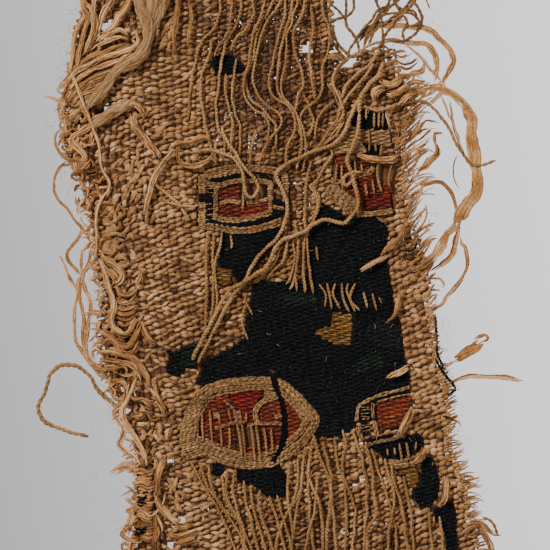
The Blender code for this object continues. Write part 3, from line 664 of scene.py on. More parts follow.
for k, (threads, points) in enumerate(DARK_BARS):
    for thread, line in enumerate(side_by_side(points, threads, DARK_PITCH)):
        lay_rib(dark_lines, line, RIB_HALF, RIM_HEIGHT - 0.04, 800 + 10 * k + thread)
# Black wefts along the crack, sunk between the rims
for thread, line in enumerate(side_by_side(CRACK, CRACK_WEFTS, DARK_PITCH)):
    lay_rib(dark_lines, line, RIB_HALF, RIM_HEIGHT - 0.40, 1100 + thread, unbroken=True)
# The pointed left end of the oval, wound with short wefts
OVAL_END = ((37.8, 18.6), (36.0, 21.8), (36.4, 25.0), (37.2, 28.0), (38.6, 30.6))
for y in np.arange(18.8, 30.4, WOOL_PITCH):
    left = float(at_height(OVAL_END, y))
    dip = 0.2 * float(drift(93, 0.0, y, 2.0))
    ends = ((left - 0.2, y - 0.5 + dip), (left + 1.5, y), (left + 3.0, y + 0.5))
    lay_rib(rims, smooth_route(ends), 0.22, RIM_HEIGHT + 0.16, round(90 * y), 0.05)
rims.piece("tan_ornament_rims", tan_weft, "linen_ground")
dark_lines.piece("dark_ornament_lines", dark_wool, "dark_wool")


# Ground wefts
# Soft thick linen weft, tan, packed close over one warp group and under the next, so that plump
# crowns cover the face in staggered columns. At the left edge the rows have lost their order.

WEFT_PITCH = 0.53
WEFT_WAVE = 0.38
WEFT_PLUMP = 0.455
# Points of a weft over one warp group and under the next, in warp pitches from the group's middle
OVER = (-0.43, -0.26, 0.0, 0.26, 0.43)
UNDER = (0.0,)
# Where the border beside the band begins, with its steeper and plumper crowns
BORDER = 78.0
# The two pieces of the ground meet here
HALFWAY = 55.0

# Where the ordered weave begins, from the left
WEAVE_EDGE = (
    (35.4, -9), (34.6, 6), (33.6, 17), (33.6, 34), (30.6, 40), (29, 56), (27.6, 62), (28.6, 70), (25.6, 78),
    (23, 88), (25, 96), (31, 101), (31, 119),
)

# Where the weave has opened, or under the wool is shut: x, y, reach along x, reach along y, how far
OPENED = (
    (54, 98, 12, 20, 1), (60.5, 68, 3.5, 8, 0.8), (83, 74, 3.5, 14, 0.6), (59, 4, 13, 10, 0.9),
    (86, 92, 6, 8, 0.4), (30, 66, 3, 8, 0.2), (46.6, 62, 5, 9, -1.2), (64, 44, 14, 10, -2),
    (50, 25, 10, 8, -1), (71, 62, 7, 7, -2),
)

# Paler places, and darker places that are painted shade: x, y, reach along x, reach along y, how much paler
TINTS_AND_PAINTED_SHADE = (
    (40, 5, 9, 9, 0.18), (84, 74, 4, 14, 0.12), (58.2, 70, 0.8, 7, -0.3), (60, 4, 13, 10, 0.12),
    (22, 86, 6, 10, 0.1), (53, 88, 8, 9, -0.1), (24, 46, 5, 8, 0.08), (33, 66, 4, 3, -0.14),
    (90, 10, 6, 12, 0.1), (30, 84, 6, 5, 0.05), (73, 95, 5, 6, -0.36), (80, 84, 2.4, 6, -0.14),
    (51, 88, 9, 8, -0.14), (62, 84, 5, 10, -0.14), (52, 98, 9, 14, -0.14),
)


def openness(x, y):
    """How far the weave has opened: 0 where it is close and 1 where it is widest."""
    return np.clip(blobs(OPENED, x, y) + 0.25 * drift(4, x, y, 9.0), 0.0, 1.0)


def bare_linen(x, y):
    """Whether grid points are on plain linen, with no wool and no hole."""
    return inside_cloth(x, y) & (wool_at(x, y) < 0) & ~in_hole(x, y)


def weft_row(skein, base, order):
    """One weft that rises in a plump crown over every second warp group and is hidden between."""
    chance = np.random.default_rng(3000 + order)
    up = (np.arange(len(columns)) + order) % 2 == 0
    number = np.repeat(np.arange(len(columns)), np.where(up, len(OVER), len(UNDER)))
    part = np.concatenate([OVER if rises else UNDER for rises in up])
    # Each crown is moved along and across, tilted, swollen and raised by its own small amounts
    along, across, tilt, swell, raised = chance.standard_normal((5, len(columns)))[:, number]
    u = columns[number] + (part + 0.08 * along) * WARP_PITCH
    y = base + 0.5 * drift(30, u, base, 26.0)
    x = warp_x(u, y)
    loose = np.clip((at_height(WEAVE_EDGE, y) - x) / 4.0, 0.0, 1.0)
    border = np.clip((x - BORDER) / 3.0, 0.0, 1.0)
    slope = 0.20 + 0.14 * border + (0.34 + 0.55 * loose) * tilt
    y = y + (0.20 + 0.36 * loose) * across + part * WARP_PITCH * slope
    dome = np.cos(math.pi * part) ** 0.6
    bare = openness(x, y)
    plump = WEFT_PLUMP * (1.0 + 0.16 * swell) * (1.0 - 0.34 * bare)
    plump = plump * (1.0 - 0.12 * loose) * (1.0 + 0.12 * border)
    wide = plump * np.where(up[number], 0.26 + 0.80 * dome, 0.50)
    tall = plump * np.where(up[number], 0.30 + 0.46 * dome, 0.44)
    z = MID_HEIGHT + cloth_rise(x, y) + WEFT_WAVE * np.where(up[number], 1.35 * dome - 0.35, -1.1)
    z = z + 0.05 * raised - 0.25 * loose
    shade = 0.06 * chance.standard_normal() + 0.10 * along
    shade = shade + 0.10 * drift(32, x, y, 5.0) + 0.07 * drift(33, x, y, 18.0)
    # The ends of each crown are darkened as painted shade between the crowns, and the darker tints are
    # painted shade too
    shade = shade - 0.20 * bare - 0.05 * loose - 0.11 * (1.0 - dome) * up[number] + blobs(TINTS_AND_PAINTED_SHADE, x, y)
    route = np.stack((x, y, z), axis=-1)
    for a, b in runs(bare_linen(x, y), 4):
        skein.lay(route[a:b], wide[a:b], tall[a:b], tone=shade[a:b], twist=0.26)


def swung(start, reach, swing):
    """Points at given distances from a start, each in its own direction."""
    return np.stack((start[0] + reach * np.cos(swing), start[1] + reach * np.sin(swing)), axis=-1)


# How thick a sprung stretch of weft is from end to end, and how high it lies on the cloth
STRAY_PLUMP = np.array((0.30, 0.75, 0.95, 1.0, 0.95, 0.75, 0.30))
STRAY_LIFT = 0.34


def lay_stray(skein, centre, heading, length, seed):
    """One stretch of weft that has sprung out of its row and lies bent over the face."""
    chance = np.random.default_rng(seed)
    reach = np.linspace(-0.5, 0.5, len(STRAY_PLUMP)) * length
    swing = heading + chance.normal(0.0, 0.5) * reach / length
    swing = swing + chance.normal(0.0, 0.3) * np.abs(reach) / length
    flat = swung(centre, reach, swing)
    slim = WEFT_PLUMP * STRAY_PLUMP * chance.uniform(0.8, 1.1)
    arch = 0.35 * (1.0 - (2.0 * reach / length) ** 2)
    z = MID_HEIGHT + STRAY_LIFT + cloth_rise(flat[:, 0], flat[:, 1]) + arch
    skein.lay(np.column_stack((flat, z)), slim, 0.7 * slim, 6, chance.normal(-0.02, 0.13), 0.2)


# Soft-spun linen weft: pale tan crowns with a coarse slant of fibres, and deep brown between them, partly
# painted shade
linen_weft = spun_yarn("soft_spun_tan_linen", "#4F2D13", "#AB7948", "#E6B886", 9.0, 0.85, 0.15, 0.6)

lower_wefts = Skein()
upper_wefts = Skein()
for k, base in enumerate(np.arange(CLOTH_FOOT + 0.4, CLOTH_HEAD - 0.4, WEFT_PITCH)):
    weft_row(lower_wefts if base < HALFWAY else upper_wefts, base, k)

# Where stretches of weft have sprung out: x, y, reach along x and y, how many, heading in degrees
STRAYS = (
    (21.8, 62, 1.8, 4.5, 60, 10), (22.5, 68, 2, 3, 25, 60), (24, 58, 2, 3, 16, 0), (27, 72, 4, 8, 46, 75),
    (25, 50, 4, 8, 26, 40), (35.6, 11, 1.4, 4, 12, -55), (38.4, 14.4, 1.4, 2, 7, 60),
    (34, 104, 3, 4, 24, 60), (37, 3, 3, 2, 5, 20), (31, 22, 3, 5, 18, 100), (30, 85, 5, 3, 16, 30),
    (81, 92, 2, 5, 12, 60),
)
chance = np.random.default_rng(29)
for k, (x, y, reach_x, reach_y, many, heading) in enumerate(STRAYS):
    for stray in range(many):
        centre = (x + reach_x * chance.normal(0.0, 0.5), y + reach_y * chance.normal(0.0, 0.5))
        if not bare_linen(np.array(centre[0]), np.array(centre[1])):
            continue
        turn = math.radians(heading) + chance.normal(0.0, 0.45)
        wefts = upper_wefts if y > HALFWAY else lower_wefts
        lay_stray(wefts, centre, turn, chance.uniform(1.3, 2.8), 3500 + 50 * k + stray)
lower_wefts.piece("ground_wefts_lower", linen_weft, "linen_ground")
upper_wefts.piece("ground_wefts_upper", linen_weft, "linen_ground")


# Loose warps
# Two-ply linen warps, twisted hard, that lost their weft and now lie bare and wavy over the face.
# They leave the cloth above the band, and again below its ornaments.

PLY_HALF = 0.30
DASH_HALF = 0.28
# Turns for each millimetre
PLY_TWIST = 0.72
# Heights of the cloth's face and of the surface that it lies on, as yarns rest on them
FACE_HEIGHT = 1.62
TABLE_HEIGHT = 0.10
# The outline of two plies laid together
LOBE_PROFILE = np.array((1.0, 0.86, 0.52, 0.86, 1.0, 0.86, 0.52, 0.86))

UPPER_WARPS = (
    ((43.8, 117.6), (44.1, 110), (43.9, 107), (42.7, 104), (40.4, 101.6), (39.4, 98.6), (38.6, 95),
     (38, 91), (37.6, 86)),
    ((42.2, 102.2), (42.1, 100.2), (41.4, 97.8), (40.3, 94.7), (40.2, 90.6), (40.8, 86.6), (41.4, 83.7),
     (42.3, 80.4), (42.9, 77.4)),
    ((46.6, 118), (46.4, 110), (46.2, 106), (45.6, 103.2), (44.5, 101.8), (43.5, 100.4), (42.9, 98.6)),
    ((48.6, 118), (48.2, 110), (48.2, 107.6), (47, 104.5), (45.6, 102.2), (45, 100.8), (44.5, 98.6),
     (44.1, 95.8), (43.7, 92.6), (43.3, 89.6), (43.3, 86.6), (43.9, 83.8), (44.8, 82.4), (45, 79)),
    ((50.8, 117.8), (50.6, 110), (50.6, 106.6), (49, 104), (47.8, 103), (46.8, 101.4), (46.2, 99.8)),
    ((53.4, 118), (53.1, 110), (52.7, 108), (51.4, 105.1), (50.6, 103.2), (50.2, 100.4), (49.8, 97.4),
     (48.8, 94), (48.8, 91.6), (49.4, 89.6), (51, 88), (52.7, 87), (53.8, 85), (53.4, 81)),
    ((54.7, 110), (53.7, 107.6), (52.3, 105.5), (51.4, 103.2), (51, 100.8), (50.6, 98.6), (49.6, 95.8),
     (49, 94.4), (49.4, 92), (50.6, 89.6), (52.2, 88.4), (54, 86.4), (55.2, 84.6), (55, 80)),
    ((56.8, 118), (56.2, 110), (55.4, 108.2), (53.7, 106), (52.5, 103.6), (51.8, 101.4), (51.2, 98.6),
     (50.8, 95.8), (50.6, 93.8), (51.2, 91.6), (52.2, 90), (54.1, 88.4), (55.8, 87), (56.4, 86), (56, 84.5),
     (54.3, 82.4), (53.1, 80.4), (51.8, 77.6)),
    ((57.4, 117.8), (57.2, 110), (57, 107), (56, 103.8), (55.2, 100.2), (54.6, 97.4), (53.9, 94.2),
     (54.1, 91.6), (55.6, 90), (57.4, 88.8), (58.6, 87), (59, 84.9), (58.4, 82.8), (57.4, 80.4),
     (57, 76.8)),
    ((58.4, 110), (58, 106.4), (57, 103.4), (56.2, 99.8), (55.6, 96.2), (55.4, 93.2), (55.8, 91),
     (57.6, 89), (58.8, 87.4), (60, 84.6), (60.2, 80.6), (59.4, 76)),
    ((60.2, 118), (59.6, 110), (58.6, 107.2), (58.2, 105.1), (57.4, 103.2), (57.2, 99.8), (57.2, 97.8),
     (56.6, 95.8), (56.2, 92.6), (56.4, 91), (57.6, 89.4), (59.2, 87.2), (60.6, 84), (61.2, 80),
     (60.6, 76)),
    ((61.6, 117.4), (60.8, 108.8), (59.8, 106), (58.6, 103.4), (58.6, 100.8), (59.2, 98.8), (59.8, 97),
     (60.4, 94.9), (60.6, 92.8), (59.6, 91), (59.2, 88.6), (58.6, 86.4)),
    ((63.8, 117), (64.5, 108), (65.6, 104.9), (66, 101.8), (65.4, 98.8), (64.5, 96.2), (64.5, 93),
     (64.1, 91), (62.5, 89.2), (60.6, 87.6), (60, 85.6), (59.6, 84.1), (60.6, 83.1), (62, 83.7),
     (62.7, 85.6), (62, 88), (61.4, 89.6), (60, 91.6)),
    ((65.4, 93.2), (66.6, 91.6), (67.4, 89.6), (68.2, 87.6), (68.6, 85.6), (67.4, 83.4), (65.8, 81.8),
     (62.4, 79.8), (60, 78)),
    ((70, 98.6), (68.2, 96.6), (66.8, 94.5), (66.6, 92.8), (67.8, 91.2), (68.2, 88.8), (67.4, 86.4),
     (66.2, 84.3), (64.4, 81.6), (63, 80.2)),
    ((70, 93.6), (68.8, 91.6), (68.4, 89.2), (68.6, 86.6), (67.4, 84.3), (65.2, 81.4), (64.6, 80.4)),
    ((66.8, 90), (65.2, 88.4), (63.7, 86.8), (63.3, 85.4), (63, 82)),
    ((62.2, 109), (62.6, 104), (61.8, 98.4), (62.4, 94), (63, 90)),
    ((47.2, 98.2), (46.8, 94.6), (46.4, 91), (47, 87.4), (48, 84.6), (48, 79)),
    ((45.2, 95.2), (45, 91.8), (45.8, 88.4), (46.4, 85.4), (46.2, 79.6)),
)

# Between the upper ornaments, and fanning out over the dark wool
MIDDLE_WARPS = (
    ((62.5, 85.4), (62.3, 84.2), (61.6, 83.1), (60.6, 82.9), (59.4, 84)),
    ((62.1, 77.8), (61.2, 73.6), (61, 66.3), (61.2, 63.8)),
    ((62.4, 72.8), (63.8, 70.2), (63.2, 66.8), (61.2, 64)),
    ((66, 80.2), (66.3, 78.9), (65, 76.8), (63.4, 73.9), (62.1, 72.8), (63, 71.4), (63.6, 69.8), (63.4, 68),
     (61.6, 65.5)),
    ((59, 65.6), (59.2, 64), (59.4, 62)), ((57.3, 61.8), (56.8, 58.2), (54, 55), (53.4, 54)),
    ((58.4, 62), (59, 58.2), (58.2, 55), (57.2, 53)),
    ((59.6, 62.4), (59.4, 57.6), (58.6, 53.6), (57.8, 52.2)), ((61, 63), (60.7, 56.8), (61, 51.7)),
    ((61.4, 62.6), (61.8, 56.8), (62.7, 51.4)), ((56.2, 60.6), (54.8, 57.4), (52, 54.6), (50.8, 53.4)),
    ((41.6, 63.8), (41.3, 60), (41.3, 50), (41, 42)), ((42.7, 63.5), (42.7, 57), (42.6, 50), (41.6, 41)),
    ((44.4, 63.5), (44.1, 61.2), (42.9, 56.2), (43.4, 50), (42.6, 44)),
    ((46.2, 63), (46.3, 61.2), (46.2, 60.2)), ((43.2, 81.6), (43, 78.6), (43.2, 77)),
    ((51.2, 84), (50.2, 80), (50, 77)),
)

LOWER_WARPS = (
    ((38, 18), (40.1, 14), (44, 7.6), (47, 0), (47.8, -6.8)),
    ((40.1, 17.3), (41.4, 13.2), (44.6, 8.6), (47.9, 5.4), (48.8, 0), (49.6, -6.8)),
    ((41.9, 16.8), (42.1, 13.2), (44.2, 9), (47.2, 4.6), (50, -1)),
    ((44.4, 15), (44.9, 11.3), (45.8, 9), (47.6, 5.8)),
    ((45.6, 16.4), (45.2, 12.2), (46, 9), (48.3, 5.4), (49, 0)),
    ((47.2, 16.4), (46.6, 13.6), (47, 10), (48.3, 5.4), (50.4, 0), (51.4, -6.8)),
    ((48.6, 14.1), (49.2, 10), (50.4, 5), (51.6, 0), (53, -6.6)),
    ((50.2, 13.2), (50.6, 8.6), (53.2, 0), (55, -6.8)), ((52, 12.2), (51.8, 8.6), (54.8, 0), (56.4, -6.6)),
    ((53.8, 10.8), (55.4, 6.2), (57, 0), (58.6, -6.8)),
    ((55.4, 11.1), (56.6, 6.5), (58.4, 0), (60.4, -6.8)), ((58, 18), (57.5, 12.2), (57.8, 8.8), (58.6, 3)),
    ((59.6, 18.4), (59.4, 12.2), (57.5, 7.6), (55.7, 3.5), (55.2, 0), (55.8, -6.8)),
    ((60.2, 12.4), (59, 6), (58, 0)),
    ((62.6, 23.1), (63.2, 20.8), (65.3, 15.4), (66.4, 9), (67.2, 0), (67.6, -6.8)),
    ((62.6, 22.7), (62, 18.9), (61.6, 14.1), (62, 6), (63, -1)), ((60.9, 20.8), (60.1, 13.1), (58.6, 8.7)),
    ((64.4, 21.8), (65.6, 17.6), (66.2, 12), (65.4, 4), (65.2, -4)),
    ((68.6, 24.2), (69.2, 21.3), (68.4, 17.6), (69.2, 9.4), (69.2, 4), (68.8, -4)),
    ((70.4, 24.2), (71.4, 21.3), (72.5, 17.6), (73.3, 13), (73.3, 7.4), (72.9, 4), (72.6, -6.6)),
    ((73.1, 20.5), (74.3, 16.4), (74.7, 11.5), (75.1, 7.4), (73.5, 4), (73.4, -2)),
    ((74.3, 20.5), (75.3, 16.6), (76.8, 12.6), (78.2, 7.8), (79, 4), (79.6, -6.6)),
    ((76.8, 18.4), (78.2, 13.6), (78.8, 9.5), (77.8, 4), (77.2, -3)),
    ((78.2, 17.2), (78.6, 14), (80.2, 9.5), (81, 4), (82, -6.8)),
    ((80.6, 15), (81.2, 11.5), (82.2, 7.4), (82.2, 4), (83.4, -4)), ((85.8, 7.8), (86, 4), (86.6, -4)),
    ((87.6, 6.8), (88.2, 4), (88.6, -1)), ((66.8, 22.6), (67.6, 17), (70.8, 9), (70.6, 2), (70.2, -5)),
    ((61.2, 16), (64.2, 8), (64.6, 0)), ((63.4, 15), (62.8, 8), (61.2, 1), (61, -6.8)),
)

# Ends of warps that show as short dashes over the wool and across the ornaments' fields
DASHES = (
    ((63.8, 53.2), (65.1, 51.1), (65, 48.6)), ((65.4, 53.4), (66.4, 48.2)),
    ((67, 53.4), (66.6, 51.1), (68, 48.2)), ((68.3, 53.4), (68.6, 50.4), (69.8, 47.7)),
    ((69.6, 53.4), (69.4, 51.4), (71, 47.7)), ((71, 53.4), (70, 50.2), (71.9, 47.9)),
    ((72.6, 51.6), (73.5, 48.4)), ((74.4, 51.4), (75.3, 47.9)), ((75.8, 50.6), (76.4, 49.3)),
    ((61.8, 55.2), (62.7, 51.3)), ((60.4, 55.7), (61.1, 51.4)), ((59, 55.2), (59.4, 51.8)),
    ((49.4, 51.4), (49.1, 50), (50.5, 47)), ((48.9, 48.8), (48.5, 45.2), (49.6, 42)),
    ((63.2, 60.7), (63.6, 57.9)), ((48.7, 73), (48.6, 68)), ((40.4, 28), (40.5, 24.8), (40.6, 21.8)),
    ((41.9, 28), (42.2, 24.8), (42.5, 21.8)), ((44.2, 24.4), (44.4, 20.6)),
    ((45.8, 24.6), (46, 22), (45.8, 19.8)), ((47.4, 25.4), (48, 22), (48.4, 18.8)),
    ((48.4, 25.2), (48.8, 22), (49.2, 18.2)), ((50.2, 25), (50.6, 21.6), (51, 17.8)),
    ((51.2, 25), (51.6, 22), (52.2, 18.2)), ((52.8, 24.6), (53.4, 19.8)), ((54.2, 24.4), (54.6, 20)),
    ((45.6, 28.2), (46.2, 26)), ((49.2, 27.6), (49.2, 25.6)), ((43.8, 27.4), (44, 25)),
    ((67.4, 77.2), (67.1, 75.2), (67, 73.6)), ((68.4, 77), (68.3, 74.4), (68.5, 72)),
    ((70.9, 77.8), (71.1, 75.4)), ((72.2, 77.2), (72.5, 75.4)), ((75.6, 77.4), (75.4, 75), (76.3, 71.6)),
    ((78.2, 77), (77.6, 74.2), (78, 72.4)), ((73, 73.4), (73.4, 70.8)), ((74.4, 74), (74.8, 71.2)),
    ((73.6, 84), (73.8, 81.4)), ((74.8, 87.4), (74.8, 84.4)), ((75.8, 87.6), (75.6, 84.4)),
    ((76.6, 87.4), (76.4, 84.6)), ((73.2, 88.4), (73.2, 86)), ((73.8, 81.2), (73.8, 79.6)),
    ((75, 81.2), (75.2, 79.6)), ((76.3, 81), (76, 78.8)), ((77.4, 20.4), (77.6, 19)),
    ((78.8, 20.6), (79, 19)), ((79.8, 21.4), (80.4, 17.6)), ((81.2, 21.6), (81.8, 18.2)),
    ((83.2, 21.8), (83, 20)), ((86.6, 17.6), (86.4, 17)),
)


def drape(flat, half, lift=0.0, ease=7):
    """Heights for a flat route: on the cloth's face where it crosses it, and down to the table beyond."""
    x, y = flat[:, 0], flat[:, 1]
    on_cloth = inside_cloth(x, y)
    z = np.where(on_cloth, FACE_HEIGHT + cloth_rise(x, y) + half * 0.6 + lift, TABLE_HEIGHT + half)
    padded = np.pad(z, ease, mode="edge")
    kernel = np.hanning(2 * ease + 3)[1:-1]
    return np.column_stack((flat, np.convolve(padded, kernel / kernel.sum(), mode="valid")))


def from_ends(count):
    """How many points each point is from the nearer end."""
    return np.minimum(np.arange(count), np.arange(count)[::-1])


def lay_ply(skein, points, half=PLY_HALF, seed=0, tone=0.05, lift=0.0, wave=0.10, twist=PLY_TWIST):
    """A two-ply twisted yarn through given points, thinning at its ends."""
    flat = smooth_route(points)
    x, y = flat[:, 0], flat[:, 1]
    flat = flat + wave * np.stack((drift(seed, x, y, 4.0), drift(seed + 1, x, y, 4.0)), axis=-1)
    route = drape(flat, half, lift + 0.15 * drift(seed + 2, x, y, 12.0))
    taper = np.clip(0.45 + from_ends(len(route)) / 5, 0.45, 1.0)
    even = half * taper * (1.0 + 0.10 * drift(seed + 3, x, y, 6.0))
    skein.lay(route, even, even, 8, tone + 0.08 * drift(seed + 4, x, y, 9.0), twist, LOBE_PROFILE)


# Two hard-twisted plies of linen: light and dark slant round the yarn as the plies turn
ply_linen = spun_yarn("two_ply_linen_warp", "#361E0C", "#976A3A", "#D8AA76", 3.0)

upper_plies = Skein()
for k, points in enumerate(UPPER_WARPS):
    half = PLY_HALF * (1.0 + 0.14 * math.sin(2.3 * k))
    lay_ply(upper_plies, points, half, 700 + 5 * k, lift=0.25 * (k % 3))
for k, points in enumerate(MIDDLE_WARPS):
    lay_ply(upper_plies, points, seed=900 + 5 * k, lift=0.2 * (k % 2))
upper_plies.piece("upper_loose_warps", ply_linen, "warp_linen")
lower_plies = Skein()
for k, points in enumerate(LOWER_WARPS):
    half = PLY_HALF * (1.06 + 0.12 * math.sin(2.3 * k))
    lay_ply(lower_plies, points, half, 1100 + 5 * k, lift=0.2 * (k % 3))
for k, points in enumerate(DASHES):
    lay_ply(lower_plies, points, DASH_HALF, 1400 + 5 * k, 0.0, 0.12, 0.04)
lower_plies.piece("lower_loose_warps", ply_linen, "warp_linen")


# Long loose yarns
# Whole lengths of ply yarn that have worked out of the cloth: some cross the face in curves, and
# the rest stand off the upper right corner and the edges in loops.

# Half width, lift, points
CROSSING_YARNS = (
    (0.44, 0.5, ((71.6, 90), (67.7, 82), (63, 79.8), (58.4, 77.8), (55.6, 75.8), (55.4, 74.2), (56.8, 71.6),
     (57.4, 68.6), (56.8, 65.2), (55.4, 62.4), (51.7, 58.7), (50, 55.9), (48.6, 53.4), (46.2, 50.4),
     (43.6, 45.4), (41, 40.4), (39.6, 37.4))),
    (0.46, 0.9, ((71.8, 87.2), (71.2, 82.9), (69.4, 78), (70.5, 74.7), (71.4, 70.8), (71.4, 68.6),
     (68.8, 65.4), (65.4, 66), (62.6, 65.2), (60.7, 63.5), (57.3, 62.4), (55, 60.4), (53.4, 56.8),
     (49.4, 54), (46.4, 52.2), (44.7, 50), (42, 45), (39.4, 40), (38.6, 38))),
    (0.38, 0.7, ((44.4, 84.6), (45.2, 82), (47.2, 79.2), (48.6, 77), (51.2, 73.8), (51.8, 72.2),
     (50.6, 70.5), (49.4, 70.8), (48.8, 72.8), (48.6, 75.2), (47.2, 77.8), (44.4, 79.4), (41.6, 79.8),
     (38, 79.4))),
    (0.36, 0.8, ((79.8, 102), (75.3, 101.4), (72, 99.8), (68.8, 97.6), (66.8, 95), (66.6, 93), (67.8, 90.4),
     (68.6, 87.2), (67.8, 85.5))),
    (0.36, 0.6, ((75.8, 100.2), (74.2, 97.4), (71.4, 95), (69.2, 92.8), (68.4, 90))),
    (0.5, 0.9, ((76.4, 97), (75.6, 94.8), (73.6, 92.8), (71.8, 89.8), (71.8, 87.2))),
    (0.36, 0.5, ((74.6, 97), (71.4, 92.8), (69, 89.8), (67.4, 87))),
    (0.4, 0.4, ((71, 76.2), (70.4, 73.8), (69, 72.8), (68.6, 74.2), (70, 75.4), (72.2, 75.6))),
    (0.34, 0.3, ((38, 66), (35.8, 69), (32, 72.4), (29, 74.8))),
)
CORNER_LOOPS = (
    (0.38, 0.3, ((68.9, 86.6), (70.3, 87.7), (72.9, 88.5), (75.3, 87.9), (78.1, 88.5), (80.8, 89.4),
     (84.6, 89.6), (86.8, 88.1), (88.8, 85.9), (90.3, 83.1), (92, 80.1), (93.8, 77.5), (95.4, 77),
     (97.2, 77.3), (99.2, 78))),
    (0.34, 0.1, ((75.3, 118), (75.3, 110), (75.8, 108.3), (76.2, 106.4), (76.4, 103.5), (76.6, 100))),
    (0.36, 0.4, ((78.4, 112), (77.9, 110), (77.3, 108.7), (75.3, 107.6), (74, 105.7), (72.3, 103.7),
     (71.2, 102.2), (70.1, 100.2), (69.4, 98))),
    (0.38, 0.6, ((84, 112.4), (82.9, 109.6), (80.8, 107.6), (78.6, 105.4), (77.7, 103.9), (76.8, 102.4),
     (75.6, 100))),
    (0.38, 0.3, ((81.8, 111.6), (82.7, 109.6), (84.2, 107.4), (84.4, 105.9), (83.6, 103.7), (81.6, 102.2),
     (79.9, 101.8), (77, 102.2))),
    (0.34, 0.5, ((78.6, 111.8), (79, 110), (79.9, 108), (82.5, 107.1), (83.8, 105.7), (82, 104.6))),
    (0.34, 0.4, ((74, 102), (75.2, 106), (77.4, 107), (80.2, 107.2), (81.4, 105.4), (80.6, 103.6),
     (81, 102.2))),
    (0.34, 0.2, ((72.8, 100.6), (74.4, 104.4), (76, 107.2), (78.6, 109), (80.2, 111), (80.6, 114))),
    (0.34, 0.2, ((65.8, 109.2), (67.5, 108), (69, 106.6), (69.2, 110), (69.4, 114))),
    (0.36, 0.2, ((69.1, 106.8), (69.4, 104.6), (70.3, 103.5), (71.4, 101.6), (71.8, 99.8))),
    (0.36, 0.1, ((70.8, 114), (70.8, 110), (70.6, 108), (69.2, 106.6), (67.3, 106.1), (65.6, 105.2))),
    (0.4, 0.3, ((65.6, 102.4), (67.3, 100.2), (68.4, 98.8), (69.6, 98.2))),
    (0.36, 0.1, ((66.4, 105), (67, 102.4), (68.6, 100), (70.4, 98.6), (72.6, 99.2))),
    (0.22, 0, ((83.8, 111), (85, 110.4), (85.4, 109.4), (85.8, 108.2))),
    (0.34, 0.5, ((72.8, 101.2), (73.6, 103.6), (75.4, 106), (77.6, 108), (79.4, 110.6), (80, 113))),
    (0.34, 0.6, ((73.6, 101), (75, 103.6), (77.2, 105.6), (80, 107.6), (82, 109.8), (83, 112))),
    (0.3, 0.4, ((78.2, 111), (79.4, 108.8), (80.8, 108), (82.6, 107.8), (83.4, 106.4))),
    (0.26, 0.5, ((81, 108.8), (81.9, 108.2), (82.3, 109), (81.8, 109.6))),
)
EDGE_PLIES = (
    (0.48, 0.3, ((23.6, 27.4), (22.8, 29), (21.4, 30.2), (19.5, 32.2), (17.9, 34.8), (16.1, 36.4),
     (14.1, 37.1), (12, 36.9), (10.2, 35.4), (9.6, 33.4), (8.8, 31.2), (7.8, 29), (8.2, 26.6), (9.8, 25.2),
     (12.2, 24.4), (14.8, 23.4), (17.8, 22.8))),
    (0.34, 0.2, ((96.4, 6.6), (98.2, 5.8), (99.6, 3))),
    (0.34, 0.2, ((94.6, 4), (97, 2.6), (98, -1), (97.6, -5))),
)

crossing = Skein()
for k, (half, lift, points) in enumerate(CROSSING_YARNS):
    lay_ply(crossing, points, half, 1700 + 5 * k, 0.12, lift)
crossing.piece("crossing_yarns", ply_linen, "warp_linen")
corner_loops = Skein()
for k, (half, lift, points) in enumerate(CORNER_LOOPS + EDGE_PLIES):
    # Loops that start high, above the lobe, are darkened as painted shade
    tone = -0.22 if points[0][1] > 100.0 else 0.02
    lay_ply(corner_loops, points, half, 1900 + 5 * k, tone, lift, twist=0.55 * PLY_TWIST)
corner_loops.piece("corner_loops_and_edge_plies", ply_linen, "frayed_linen")


# Left fray
# Soft rovings, once the wefts and the warps of the left edge: hardly twisted, golden brown, split
# into strands that still lie side by side, and drawn into loops, curls and long hanging ends.

